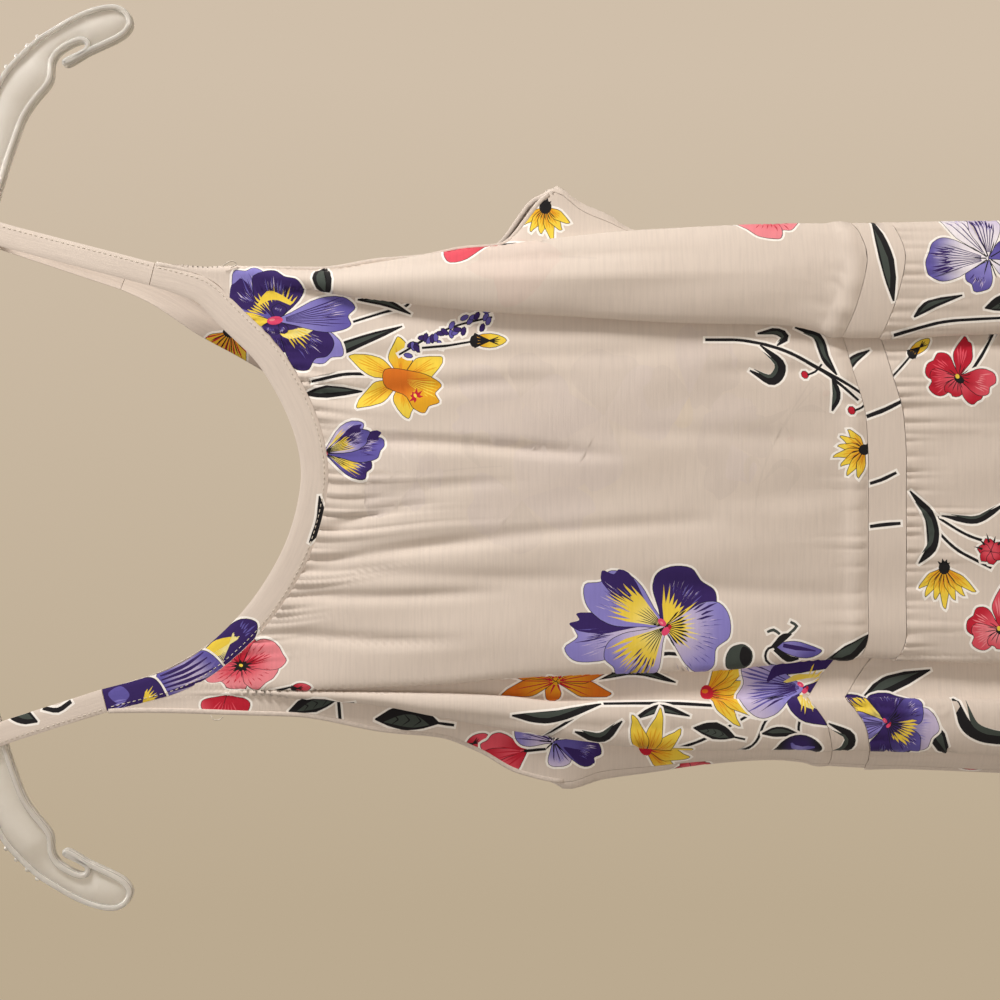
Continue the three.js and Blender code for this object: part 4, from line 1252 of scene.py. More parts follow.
def branch():
    """A black branch with curling leaves and red buds."""
    return [
        *stem([(9, 38), (8.5, 20), (4, 2), (-6, -18), (-17, -36)], 1.2),
        *stem([(-2, -10), (-8, -20), (-20, -34)], 0.8),
        *leaf([(-6, 17), (-11, 6), (-4, 2), (6, 12)], 4.2),
        *leaf([(12, 13), (13, 4), (10, 0), (6, 4)], 3.6),
        *leaf([(15, -5), (11, -15), (0, -19), (-8, -24)], 4.2),
        *leaf([(-25, -22), (-18, -24), (-9, -22)], 3.6),
        *shifted(berry(), -8, -9),
        *shifted(berry(), -25, -31),
    ]


def carnation():
    parts = [body(petal(a, 8.5, 8, 0.6), fade("rose", "red", 3, 8)) for a in (20, 75, 130, 185, 240, 300)]
    parts += rays(0, 180, 6, 13, 6, 1.6, plain("black"))
    parts += stem([(-2, -6), (-5, -16), (-4, -26)], 0.8)
    return parts


def bare_stem(points, width=1.0):
    return lambda: stem(points, width)


def lone_leaf(points, width, grey=True):
    return lambda: leaf(points, width, grey)


def round_leaf():
    return [
        body(rounded([(-6, 6), (0, 7), (6, 4), (8, -3), (4, -8), (-2, -8), (-6, -4)]), plain("leaf")),
        mark(rounded([(-5, -4), (0, -1), (7, -3), (4, -7.6), (-2, -7.6)]), plain("black")),
    ]


def right_edge_daisy():
    return daisy(180, 130, 6, 15, "yellow", "black", 5.0)


def brown_flower():
    """The flower inside the back binding, that shows over the front neckline."""
    return [
        *[body(petal(a, 19, 9, 0.9), fade("gold", "yellow", 5, 15)) for a in (100, 138, 60, 185, 235)],
        *rays(120, 170, 2, 14, 12, 1.2, plain("red"), 0.3),
        *rays(120, 150, 2, 12, 9, 1.2, plain("black")),
        blob(0, 0, 8, 6, 30, plain("black"), False),
    ]


def half_daisy():
    return daisy(90, 150, 7, 15, "yellow", "black", 3.0)


def side_daisy():
    return daisy(180, 120, 7, 19, "yellow", "black", 5.0)


def falling_daisy():
    return daisy(-58, 175, 6, 24, "yellow", "red", 2.0, 9)


def gold_daisy():
    return daisy(-88, 130, 6, 24, "yellow", "red", 4.0, 7.5)


def orange_flower():
    return [
        *[body(petal(a, 27, 10, 0.9), fade("gold", "orange", 6, 22)) for a in (74, 104, 256, 284)],
        *[body(petal(a, 11, 9, 0.6), fade("gold", "orange", 3, 9)) for a in (15, 165)],
        *rays(90, 60, 3, 20, 5, 1.0, plain("red")),
        *rays(270, 60, 3, 20, 5, 1.0, plain("red")),
        *rays(0, 350, 2, 8, 9, 1.4, plain("red")),
    ]


def open_daisy():
    return daisy(0, 360, 11, 15, "yellow", "red", 7.0, 5.5)


# Where the motifs lie on the front: motif, x, z, size and turn, then hidden parts' own sprays
BODICE_FRONT_PRINT = [
    (bare_stem([(0, 0), (1, 26), (0, 62)], 1.1), -118.5, -480),
    (bare_stem([(-12, 18), (-4, 8), (2, 0)], 1.1), -124, -408),
    (bare_stem([(-8, 38), (-3, 20), (16, -14)], 1.0), -134, -481),
    (bare_stem([(-26, 14), (-16, 4), (-6, 0), (0, -6)], 0.8), -120, -496),
    (bare_stem([(-18, -2), (-8, 1), (2, -1)], 0.8), -121, -513),
    (bare_stem([(-8, 4), (0, 0), (6, 12)], 1.0), -86, -441),
    (lone_leaf([(-3, 20), (-4, 4), (3, -22)], 5.5), -120.5, -396),
    (lone_leaf([(-2, 18), (3, 0), (-3, -20)], 5), -104.5, -434),
    (lone_leaf([(0, 10), (-3, -2), (6, -12)], 5), -131, -416),
    (lone_leaf([(-3, 12), (2, 0), (-1, -14)], 3.6), -121.5, -446),
    (bare_stem([(-3, 14), (1, 0), (-1, -14)], 1.4), -94, -449),
    (red_petals, -114.5, -239),
    (poppy, -100, -246, 1.06),
    (red_bud, -110.5, -273, 0.8, 5),
    (veined_leaf, -119, -281, 1.15, 5),
    (veined_leaf, -127, -325, 1.4, -12),
    (bare_stem([(-6, 0), (6, 1)], 1.3), -122, -293),
    (red_bud, -138, -357, 1.0, 30),
    (tulip, -141, -383, 1.1, 12),
    (small_violet, -137, -396, 1.15),
    (orange_flower, -107, -397, 0.95),
    (falling_daisy, -140, -440),
    (veined_leaf, -131, -472, 0.9, -12),
    (gold_daisy, -113, -469, 1.05),
    (lone_leaf([(0, 8), (1, 0), (0, -9)], 5), -131.5, -503),
    (dark_bud, -138, -513, 0.8),
    (round_leaf, -95, -483, 0.80),
    (fuchsia, -92, -510, 0.92),
    (fanned_pansy, -110, -515),
    (grand_pansy, -80, -448, 0.95),
    (lone_leaf([(-6, 10), (-1, 0), (9, -12)], 7), -92, -536),
    (drooping_pansy, 3, -286),
    (lone_leaf([(0, 14), (1, 4), (1, -13)], 5), 31.5, -291),
    (bare_stem([(-2, 34), (1, 18), (1, 0)], 1.1), 39.5, -314),
    (lone_leaf([(-8, 18), (-1, 6), (9, -20)], 5.5), 54, -303),
    (bare_stem([(-7, 8), (-2, -8), (2, -20), (6, -20)], 0.9), 72, -306),
    (lone_leaf([(2, 12), (1, 0), (-5, -13)], 3.6), 73.5, -314),
    (daffodil, 38, -323),
    (lavender_sprig, 62, -344),
    (yellow_bud, 55.5, -365),
    (lone_leaf([(-9, -2), (0, 1), (13, 0)], 9), 85, -286),
    (climbing_pansy, 66, -263),
    (tulip, 102.5, -371, 1.7, -4),
    (right_edge_daisy, 121, -392),
    (branch, 47, -506),
    (half_daisy, 4, -543, 0.85, 12),
    (poppy, 118, -500, 0.9, 60),
]
WAISTBAND_PRINT = [
    (lone_leaf([(-20, -3), (0, 0), (22, 5)], 6.5), 94, -553),
    (bare_stem([(0, 7), (1, 0), (1.5, -7)], 1.5), -32.5, -553),
    (bare_stem([(-2, 6), (0, 0), (3, -6)], 1.3), -10.5, -552),
    (bare_stem([(-3, 8), (0, 0), (4, -8)], 1.8), 23, -552.5),
    (lone_leaf([(-8, 6), (0, 3), (6, -6)], 4), 45.5, -540),
    (lone_leaf([(-8.5, 5), (-5, -2), (2, -4), (8.5, 6.5)], 4.6), -134.5, -533),
]
SKIRT_FRONT_PRINT = [
    (lone_leaf([(-6, 16), (0, 4), (7, -16)], 8), -108, -560),
    (lone_leaf([(12, 8), (0, 0), (-12, -6)], 7), -133, -578),
    (lone_leaf([(12, 14), (-4, 8), (-10, -10), (-7, -30)], 6), -124, -600),
    (dusky_pansy, -126.5, -554),
    (bare_stem([(-10, -18), (0, 0), (16, 14)], 1.0), -42, -585),
    (bare_stem([(-4, -26), (0, -6), (12, 14)], 0.9), -38, -588),
    (lone_leaf([(16, 10), (4, 1), (-10, 0), (-18, 6)], 5.5), -32, -575),
    (lone_leaf([(2, 16), (0, 0), (8, -14)], 3), -30, -596),
    (side_daisy, -52.5, -581, 0.92),
    (carnation, -44.5, -603, 0.72),
    (pink_side_poppy, -81, -607, 1.0, 8),
    (bare_stem([(-6, 26), (0, 4), (2, -24)], 1.1), 64, -583),
    (bare_stem([(-20, 10), (-8, 2), (4, -4)], 1.0), 58, -602),
    (lone_leaf([(-2, 10), (3, 4), (8, -12)], 4), 69, -576),
    (side_poppy, 37.8, -587.6),
    (yellow_bud, 52.5, -570, 0.8, 40),
    (veined_leaf, 72, -609, 0.9, 10),
    (veined_violet, 94, -601, 1.1),
]


def spray_of_poppies():
    return [
        *stem([(-4, -44), (0, -20), (2, 4)], 1.1),
        *stem([(-2, -30), (12, -16), (18, -4)], 0.9),
        *leaf([(-2, -26), (-14, -18), (-20, -4)], 7),
        *poppy(),
        *shifted(red_bud(False), 19, -4),
    ]


def spray_of_daffodils():
    return [*stem([(2, 46), (4, 30), (2, 14)], 1.1), *leaf([(6, 34), (16, 18), (20, -6)], 6), *daffodil()]


def spray_of_pansies():
    stalk = stem([(2, -50), (6, -30), (0, -8)], 1.1)
    return [*stalk, *leaf([(4, -38), (18, -30), (26, -14)], 8), *grand_pansy()]


def spray_of_daisies():
    return [
        *stem([(8, -46), (4, -24), (0, -2)], 1.0),
        *leaf([(6, -34), (-8, -28), (-16, -14)], 6),
        *leaf([(5, -28), (16, -20), (20, -8)], 5),
        *open_daisy(),
    ]


def spray_of_violets():
    stalk = stem([(-10, -40), (-4, -20), (0, -4)], 1.0)
    return [*stalk, *leaf([(-7, -30), (6, -28), (16, -36)], 6), *veined_violet()]


SPRAYS = [
    spray_of_pansies, spray_of_poppies, spray_of_daisies, spray_of_daffodils, spray_of_violets,
    branch, dusky_pansy, climbing_pansy, lavender_sprig, carnation, fanned_pansy,
]


def meadow(low, high, salt, pitch=(62, 70)):
    """Sprays scattered over a stretch of cloth, row by row, none on top of another."""
    placed = []
    rows = int((high[1] - low[1]) / pitch[1]) + 1
    columns = int((high[0] - low[0]) / pitch[0]) + 1
    for row in range(rows):
        for column in range(columns):
            i = row * 37 + column * 11
            across = low[0] + pitch[0] * (column + 0.5 * (row % 2)) + 16 * (hashed(i, salt) - 0.5)
            z = high[1] - pitch[1] * row - 18 * hashed(i, salt + 1)
            kind = SPRAYS[(row * 4 + column * 3 + int(3 * hashed(i, salt + 2))) % len(SPRAYS)]
            size, turn = 0.82 + 0.3 * hashed(i, salt + 4), 70 * (hashed(i, salt + 5) - 0.5)
            if hashed(i, salt + 3) > 0.12:
                placed.append((kind, across, z, size, turn))
    return placed


def offset(outline, distance):
    """Moves an outline outward."""
    after, before = np.roll(outline, -1, axis=0), np.roll(outline, 1, axis=0)
    area = np.sum(outline[:, 0] * after[:, 1] - after[:, 0] * outline[:, 1])
    sign = 1 if area > 0 else -1
    one, two = unit(outline - before), unit(after - outline)
    normal = unit(np.stack((one[:, 1] + two[:, 1], -one[:, 0] - two[:, 0]), axis=1))
    straight = np.stack((one[:, 1], -one[:, 0]), axis=1)
    stretch = 1 / np.maximum(0.6, np.einsum("ij,ij->i", normal, straight))
    return outline + normal * (sign * distance * stretch)[:, None]


HALO = 1.35  # width of the pale line round each printed form
INK_LINE = 0.28  # and of the dark line
STROKES_SHOWN = 4  # out of the photo's view, one brush streak stands for this many


def flat_place(across, z):
    return np.array((across, z))


def stamped(motif, x, z, size=1.0, angle=0.0, *, locate, ghost):
    """The layers of one placed motif: its pale surround, then each form with its dark line."""
    at = locate(x, z)
    parts = motif()
    if ghost:
        parts = [part for part in parts if part["solid"]]
    elif z < VIEW_FOOT or locate is flat_place:
        parts = [
            part for i, part in enumerate(parts)
            if part["solid"] or len(part["outline"]) > 4 or i % STROKES_SHOWN == 0
        ]

    def shade(colour):
        def found(points):
            inked = colour(turned(points - at, -angle) / size)
            return mix(GROUND, inked, np.full(len(points), ghost)) if ghost else inked

        return found

    halos, layers = [], []
    for part in parts:
        outline = turned(part["outline"] * size, angle) + at
        if part["solid"] and not ghost:
            halos.append({"polygon": offset(outline, HALO), "colour": plain("halo")})
            layers.append({"polygon": offset(outline, INK_LINE), "colour": plain("black")})
        layers.append({"polygon": outline, "colour": shade(part["colour"])})
    return halos + layers


def stamp(placed, locate, ghost=0.0):
    """The layers of a list of placed motifs, in flat coordinates."""
    return [layer for row in placed for layer in stamped(*row, locate=locate, ghost=ghost)]


def panel_locator(panel):
    """Finds the flat place of a point seen from outside at x and z."""
    def locate(x, z):
        row = int(np.clip(np.interp(-z, -panel.z, np.arange(len(panel.z))), 0, len(panel.z) - 1))
        points = panel.points[row]
        crossings = np.nonzero((points[:-1, 0] - x) * (points[1:, 0] - x) <= 0)[0]
        if len(crossings):
            j = crossings[np.argmax(panel.side.outward * points[crossings, 1])]
            return np.array((panel.across[row, j], z))
        j = np.argmin(np.abs(points[:, 0] - x))
        return np.array((panel.across[row, j] + (x - points[j, 0]), z))

    return locate


class Ribbon:
    """A narrow crowned strip along a path: flat coordinates are length along and across."""

    def __init__(self, middle, across, normal, low, high, half):
        self.t = np.concatenate(([0], np.cumsum(np.linalg.norm(np.diff(middle, axis=0), axis=1))))
        self.rows = np.concatenate((middle, across, normal), axis=1)
        self.low, self.high, self.half = low, high, half

    def at(self, t):
        found = np.stack([np.interp(t, self.t, column) for column in self.rows.T], axis=1)
        return found[:, :3], unit(found[:, 3:6]), unit(found[:, 6:])

    def limits(self, t):
        return np.interp(t, self.t, self.low), np.interp(t, self.t, self.high)

    def outline(self):
        t = np.linspace(0, self.t[-1], int(self.t[-1] / 1.6) + 1)
        shares = np.array([0, 0.06, 0.14, 0.24, 0.38, 0.55, 0.7, 0.82, 0.9, 0.96, 1])
        low, high = self.limits(t)
        grid = np.stack(
            (np.broadcast_to(t, (11, len(t))), low + (high - low) * shares[:, None]), axis=-1
        )
        rim = np.concatenate((grid[0, :-1], grid[:-1, -1], grid[-1, :0:-1], grid[:0:-1, 0]))
        return rim, grid[1:-1, 1:-1].reshape(-1, 2)

    def fold(self, flat):
        middle, across, normal = self.at(flat[:, 0])
        low, high = self.limits(flat[:, 0])
        share = 2 * (flat[:, 1] - low) / (high - low) - 1
        ripple = 0.16 * np.sin(flat[:, 0] * 0.9) * np.sin(flat[:, 0] * 0.23 + 1) * (1 - share**2)
        slope = -0.35 * share**3
        points = middle + across * flat[:, 1:2] + normal * ripple[:, None]
        return points, unit(normal + across * -slope[:, None])

    def thickness(self, flat):
        low, high = self.limits(flat[:, 0])
        share = np.clip(2 * (flat[:, 1] - low) / (high - low) - 1, -1, 1)
        return 2 * self.half * np.maximum(0.3, (1 - share**6) ** 0.5)

    def locate(self, x, z):
        points = self.rows[:, :3] + self.rows[:, 3:6] * ((self.low + self.high) / 2)[:, None]
        i = np.argmin((points[:, 0] - x) ** 2 + (points[:, 2] - z) ** 2)
        shift = np.array((x, 0, z)) - self.rows[i, :3]
        return np.array((self.t[i], shift[0] * self.rows[i, 3] + shift[2] * self.rows[i, 5]))


def neck_ribbon(neck, outward):
    distance = np.linspace(0, neck.length, 500)
    point, _, inward, width = neck.at(distance)
    normal = np.broadcast_to(np.array((0.0, outward, 0.0)), point.shape)
    return Ribbon(point, inward, normal, np.full(500, SEAM_GAP / 2), width, STRIP_SHELL / 2)


def arm_top(x):
    return ARM_TOP_Z - ARM_SLOPE * abs(x)


def strap_ribbon(side):
    """A strap from the front strip over the hanger's arm to the back strip."""
    ends = []
    for neck in (front_neck, back_neck):
        place = np.array([0.0 if side == "left" else neck.length])
        point, along, inward, _ = (found[0] for found in neck.at(place))
        away = along * (-1 if side == "left" else 1)
        ends.append((point + inward * (STRAP_WIDTH + SEAM_GAP / 2) / 2 + away * SEAM_GAP, inward))
    crossing = STRAP_CROSSES[side]
    top = arm_top(crossing)
    along_arm = unit(np.array((1.0 if side == "left" else -1.0, 0, ARM_SLOPE)))
    clear = HANGER_THICKNESS / 2 + 1.3
    over = [(-clear, -9), (-clear, -1), (-clear + 0.1, 0.6), (-clear + 1, 1.8)]
    over += [(-clear + 2.6, 2.1), (0, 2.15)]
    over += [(-y, height) for y, height in over[-2::-1]]

    def run(end):
        middle, inward = end
        rows = []
        for share in (0, 0.25, 0.5, 0.75):
            x = middle[0] * (1 - share) + crossing * share
            z = middle[2] * (1 - share) + (top - 9) * share
            near = float(ease(0, 0.8, share))
            y = middle[1] * (1 - near) + np.sign(middle[1]) * clear * near
            rows.append((np.array((x, y, z)), unit(inward * (1 - share) + along_arm * share)))
        return rows

    bend = [(np.array((crossing, y, top + height)), along_arm) for y, height in over]
    path = [*run(ends[0]), *bend, *run(ends[1])[::-1]]
    control = np.array([np.concatenate(row) for row in path])
    fine = through(control, np.linspace(0, len(control) - 1, 260))
    middle, across = fine[:, :3], unit(fine[:, 3:])
    ahead = np.gradient(middle, axis=0)
    normal = unit(np.cross(ahead, across))
    if normal[0, 1] > 0:
        normal = -normal
    half = np.full(len(middle), STRAP_WIDTH / 2)
    return Ribbon(middle, across, normal, -half, half, STRIP_SHELL / 2)


def thread_mesh(name, points, faces, smooth=True):
    mesh = bpy.data.meshes.new(name)
    mesh.from_pydata((np.asarray(points) / 1000).tolist(), [], [tuple(face) for face in faces])
    mesh.polygons.foreach_set("use_smooth", np.full(len(mesh.polygons), smooth))
    mesh.update()
    return linked(name, mesh)


def stitches(name, runs, length=1.7, width=0.4, height=0.24):
    """Rows of sewn stitches: each run is (points, directions, normals), one row a stitch."""
    turn = np.arange(6) * np.pi / 3
    ring = np.stack((np.cos(turn), np.sin(turn)), axis=1)
    shape = [(-0.5, 0, 0)]
    shape += [(-0.36, x * width / 2, y * height) for x, y in ring]
    shape += [(0.36, x * width / 2, y * height) for x, y in ring]
    shape.append((0.5, 0, 0))
    shape = np.array(shape) * (length, 1, 1)
    faces = [(0, 1 + (i + 1) % 6, 1 + i) for i in range(6)]
    faces += [(13, 7 + i, 7 + (i + 1) % 6) for i in range(6)]
    faces += [(1 + i, 1 + (i + 1) % 6, 7 + (i + 1) % 6, 7 + i) for i in range(6)]
    points = []
    every = []
    for places, along, normal in runs:
        side = unit(np.cross(normal, along))
        for at, a, s, n in zip(places, along, side, normal):
            every.extend(tuple(len(points) + corner for corner in face) for face in faces)
            points.extend(at + shape[:, :1] * a + shape[:, 1:2] * s + shape[:, 2:] * n)
    return thread_mesh(name, points, every)


def tube(name, path, radius, sides=10, closed=False, flat=None):
    """A rounded rod along a path; flat gives its half sizes across and along the Y axis."""
    path = np.asarray(path, float)
    if closed:
        along = unit(np.roll(path, -1, axis=0) - np.roll(path, 1, axis=0))
    else:
        along = unit(np.gradient(path, axis=0))
    if flat is None:
        side = np.cross(along, (0.0, 1.0, 0.0))
        weak = np.linalg.norm(side, axis=1) < 0.2
        side[weak] = np.cross(along[weak], (1.0, 0.0, 0.0))
        side = unit(side)
        other = np.cross(side, along)
        half = (1.0, 1.0)
        power = 1.0
    else:
        side = unit(np.cross(along, (0.0, 1.0, 0.0)))
        other = np.broadcast_to(np.array((0.0, 1.0, 0.0)), side.shape)
        half = flat
        power = 0.55
    turn = (np.arange(sides) + 0.5) * 2 * np.pi / sides
    x = np.sign(np.cos(turn)) * np.abs(np.cos(turn)) ** power * half[0]
    y = np.sign(np.sin(turn)) * np.abs(np.sin(turn)) ** power * half[1]
    radius = np.broadcast_to(radius, (len(path),))[:, None, None]
    rings = path[:, None] + radius * (side[:, None] * x[:, None] + other[:, None] * y[:, None])
    points = rings.reshape(-1, 3)
    count = len(path)
    faces = []
    for i in range(count if closed else count - 1):
        a, b = i * sides, (i + 1) % count * sides
        faces.extend((a + j, a + (j + 1) % sides, b + (j + 1) % sides, b + j) for j in range(sides))
    if not closed:
        before = path[:1] - along[:1] * radius[0, 0] * 0.6
        beyond = path[-1:] + along[-1:] * radius[-1, 0] * 0.6
        points = np.concatenate((points, before, beyond))
        first, last = len(points) - 2, len(points) - 1
        end = (count - 1) * sides
        faces.extend((first, (j + 1) % sides, j) for j in range(sides))
        faces.extend((last, end + j, end + (j + 1) % sides) for j in range(sides))
    return thread_mesh(name, points, faces)


def join(name, pieces):
    """Joins meshes into one."""
    points, faces = [], []
    for piece in pieces:
        start = len(points)
        points.extend(tuple(v.co * 1000) for v in piece.data.vertices)
        faces.extend(tuple(start + i for i in p.vertices) for p in piece.data.polygons)
        bpy.data.objects.remove(piece)
    return thread_mesh(name, points, faces)


# Materials


class Paint:
    """A material with a Principled shader, put together node by node."""

    def __init__(self, name):
        self.material = bpy.data.materials.new(name)
        self.material.use_nodes = True
        self.tree = self.material.node_tree
        self.shader = self.tree.nodes["Principled BSDF"]

    def feed(self, node, inputs):
        """Links or sets a node's inputs."""
        for name, value in inputs.items():
            if isinstance(value, bpy.types.NodeSocket):
                self.tree.links.new(value, node.inputs[name])
            else:
                node.inputs[name].default_value = value
        return node

    def add(self, kind, inputs=None):
        return self.feed(self.tree.nodes.new(kind), inputs or {})

    def object_place(self):
        return self.add("ShaderNodeTexCoord").outputs["Object"]

    def noise(self, vector, scale, detail):
        inputs = {"Vector": vector, "Scale": scale, "Detail": detail}
        return self.add("ShaderNodeTexNoise", inputs).outputs["Fac"]

    def ramp(self, value, low, high, start=0.3, end=0.7):
        found = self.add("ShaderNodeValToRGB", {"Fac": value})
        first, last = found.color_ramp.elements
        first.color, first.position = (*low, 1), start
        last.color, last.position = (*high, 1), end
        return found.outputs["Color"]

    def multiply(self, a, b):
        found = self.add("ShaderNodeMix")
        found.data_type = "RGBA"
        found.blend_type = "MULTIPLY"
        return self.feed(found, {"Factor": 1, "A": a, "B": b}).outputs["Result"]

    def bump(self, height, strength, distance):
        inputs = {"Height": height, "Strength": strength, "Distance": distance}
        return self.add("ShaderNodeBump", inputs).outputs["Normal"]

    def done(self, inputs):
        self.feed(self.shader, inputs)
        return self.material


def printed_cloth(name, roughness=0.82):
    """Fine printed jersey: the print's colours, faint slubs across it and a fine knit."""
    paint = Paint(name)
    ink = paint.add("ShaderNodeVertexColor")
    ink.layer_name = "Print"
    weave = paint.add("ShaderNodeUVMap")
    weave.uv_map = "Weave"

    def woven(across, up, detail):
        inputs = {"Vector": weave.outputs["UV"], "Scale": (across, up, 1)}
        return paint.noise(paint.add("ShaderNodeMapping", inputs).outputs["Vector"], 1, detail)

    slub, patch, knit = woven(55, 900, 3), woven(18, 14, 3), woven(1500, 2600, 1)
    streaks = paint.ramp(slub, (0.93, 0.93, 0.935), (1, 1, 1), 0.25, 0.6)
    clouds = paint.ramp(patch, (0.955, 0.95, 0.945), (1, 1, 1), 0.3, 0.65)
    total = paint.add("ShaderNodeMath")
    total.operation = "MULTIPLY_ADD"
    height = paint.feed(total, {0: knit, 1: 0.35, 2: slub}).outputs["Value"]
    return paint.done({
        "Base Color": paint.multiply(paint.multiply(ink.outputs["Color"], streaks), clouds),
        "Normal": paint.bump(height, 0.22, 0.0004),
        "Roughness": roughness,
        "Sheen Weight": 0.15,
        "Sheen Roughness": 0.5,
        "Specular IOR Level": 0.25,
    })


def grainy(name, scale, detail, low, high, roughness, relief=None):
    """A finely mottled material; relief is its bump's strength and height."""
    paint = Paint(name)
    grain = paint.noise(paint.object_place(), scale, detail)
    inputs = {"Base Color": paint.ramp(grain, low, high), "Roughness": roughness}
    if relief:
        inputs["Normal"] = paint.bump(grain, *relief)
    return paint.done(inputs)


def frosted_plastic(name):
    paint = Paint(name)
    place = paint.object_place()
    mottle = paint.noise(place, 60, 4)
    rough = paint.add("ShaderNodeMapRange", {"Value": mottle, "To Min": 0.36, "To Max": 0.52})
    return paint.done({
        "Base Color": paint.ramp(mottle, (0.86, 0.83, 0.78), (0.93, 0.91, 0.87)),
        "Roughness": rough.outputs["Result"],
        "Normal": paint.bump(paint.noise(place, 420, 3), 0.08, 0.0005),
        "Transmission Weight": 0.6,
        "IOR": 1.12,
    })


def wall_glow_painted_light(name):
    """A plain wall that glows instead of being lit, with painted light that makes it a little lighter to the
    right.
    """
    paint = Paint(name)
    apart = paint.add("ShaderNodeSeparateXYZ", {"Vector": paint.object_place()})
    share = paint.add("ShaderNodeMapRange", {"Value": apart.outputs["X"], "From Min": -1, "From Max": 1})
    # Painted light: the glowing colour runs from darker at the left to lighter at the right, as if lit from the
    # right
    left, right = to_linear((187, 170, 144)), to_linear((208, 191, 170))
    return paint.done({
        "Emission Color": paint.ramp(share.outputs["Result"], left, right, 0, 1),
        "Emission Strength": 1,
        "Base Color": (0, 0, 0, 1),
        "Specular IOR Level": 0,
    })


CLOTH = printed_cloth("printed_cloth")
BINDING = printed_cloth("binding_cloth", 0.78)
THREAD = grainy("sewing_thread", 900, 2, (0.52, 0.45, 0.36), (0.78, 0.71, 0.61), 0.7)
ROLLED = grainy("rolled_cloth", 700, 3, GROUND * 0.84, GROUND * 0.98, 0.85, (0.2, 0.0003))
PLASTIC = frosted_plastic("hanger_plastic")
FLOOR_PAINT = grainy("floor_paint", 6, 4, (0.66, 0.6, 0.52), (0.7, 0.64, 0.56), 0.9)
WALL_GLOW_PAINTED_LIGHT = wall_glow_painted_light("wall_glow_painted_light")

# The cloth pieces

panels = {
    (side.name, kind): Panel(side, kind)
    for side in (front_side, back_side)
    for kind in ("bodice", "band", "skirt")
}
locators = {key: panel_locator(panel) for key, panel in panels.items()}


def lining_of(surface, flat, triangles, lattice):
    """An inner side on the same rim, with fewer points below the gathers and no print."""
    ring = ring_of(triangles)
    sparse = np.concatenate((lattice[: surface.fine_count], lattice[surface.fine_count :: 2]))
    back_flat, back, _ = triangulate(flat[ring], sparse, [])
    assert np.allclose(back_flat[: len(ring)], flat[ring], atol=1e-3)
    return ring, back_flat, back, *surface.fold(back_flat)


def dress(node, surface, layers, material):
    """Makes a cloth piece, named after the part that it stands for, and hides that part."""
    rim, lattice = surface.outline()
    flat, triangles, colours = triangulate(rim, lattice, layers)
    positions, normals = surface.fold(flat)
    panel = isinstance(surface, Panel)
    thick = SHELL if panel else surface.thickness(flat)
    lining = lining_of(surface, flat, triangles, lattice) if panel and surface.kind == "skirt" else None
    made = make_shell(
        f"{node}_cloth", flat, triangles, colours, positions, normals, thick, 0.35 if panel else 1, lining
    )
    made.data.materials.append(material)
    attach(made, "root")
    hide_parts(node)
    return made


# Motifs that show faintly through from the back: a share of their ink
GHOST_INK = 0.045
GHOSTS = [
    (grand_pansy, 20, -420, 1.0, 30), (climbing_pansy, 30, -460, 0.9, 80), (grand_pansy, -20, -380, 0.8, 200),
    (dusky_pansy, 6, -480, 1.0, 100), (spray_of_violets, -10, -330, 1.0, 20), (tulip, 95, -400, 2.0),
    (branch, 0, -500, 1.0, 90), (grand_pansy, 28, -380, 0.7, 10),
]
WAISTBAND_BACK_PRINT = [(lone_leaf([(-18, -3), (0, 1), (18, 3)], 6), x, -553) for x in (-110, -20, 70)]

front = locators["front", "bodice"]
bodice_front = dress(
    "bodice_front", panels["front", "bodice"],
    stamp(GHOSTS, front, GHOST_INK) + stamp(BODICE_FRONT_PRINT, front), CLOTH,
)
bodice_back = dress(
    "bodice_back", panels["back", "bodice"],
    stamp(meadow((-160, -530), (130, -310), 3), flat_place), CLOTH,
)
band_front = dress(
    "waistband_front", panels["front", "band"],
    stamp(WAISTBAND_PRINT, locators["front", "band"]), CLOTH,
)
band_back = dress(
    "waistband_back", panels["back", "band"],
    stamp(WAISTBAND_BACK_PRINT, flat_place), CLOTH,
)
skirt_front = dress(
    "skirt_front", panels["front", "skirt"],
    stamp(meadow((-205, -1180), (175, -665), 8), flat_place)
    + stamp(SKIRT_FRONT_PRINT, locators["front", "skirt"]), CLOTH,
)
skirt_back = dress(
    "skirt_back", panels["back", "skirt"],
    stamp(meadow((-185, -1180), (145, -590), 12), flat_place), CLOTH,
)

front_strip = neck_ribbon(front_neck, -1)
back_strip = neck_ribbon(back_neck, 1)
strap_strips = {side: strap_ribbon(side) for side in ("left", "right")}


def shoulder_pansy_tip():
    return [
        body(rounded([(-17, 3), (0, 7), (14, 4), (17, -2), (8, -7), (-6, -8), (-18, -5)]), plain("purple")),
        mark(rounded([(-15, 4), (-6, 6), (0, 4), (4, 1), (-2, 0), (-8, -1)], 1.0), plain("yellow")),
        *rays(8, 40, -14, 6, 8, 1.3, plain("pale"), 0.3),
        *rays(0, 34, 8, 15, 6, 1.2, plain("violet"), 0.3),
    ]


def shoulder_pansy_fan():
    return [
        body(rounded([(-16, 8), (0, 9), (14, 7), (15, -8), (0, -9), (-15, -7)]), fade("lilac", "violet", 2, 14)),
        *[mark(stroke([(-15, y), (0, y * 1.2 - 1), (13, y * 1.5 - 2)], (0.6, 1.7, 0.5)), plain("purple"))
          for y in (-6, -4, -2, 0, 2, 4, 6)],
    ]


def shoulder_pansy_petal():
    return [
        body(rounded([(-14, 8), (0, 9), (12, 6), (14, -8), (-2, -9), (-14, -7)]), plain("purple")),
        mark(burst(20, 80, 5, 9, 7, 2.0) + (3, -3), plain("yellow")),
        mark(rounded([(-12, 5), (-5, 7), (-2, 2), (-8, -1)]), plain("violet")),
        *rays(200, 60, 3, 12, 6, 1.2, plain("lavender"), 0.5),
    ]


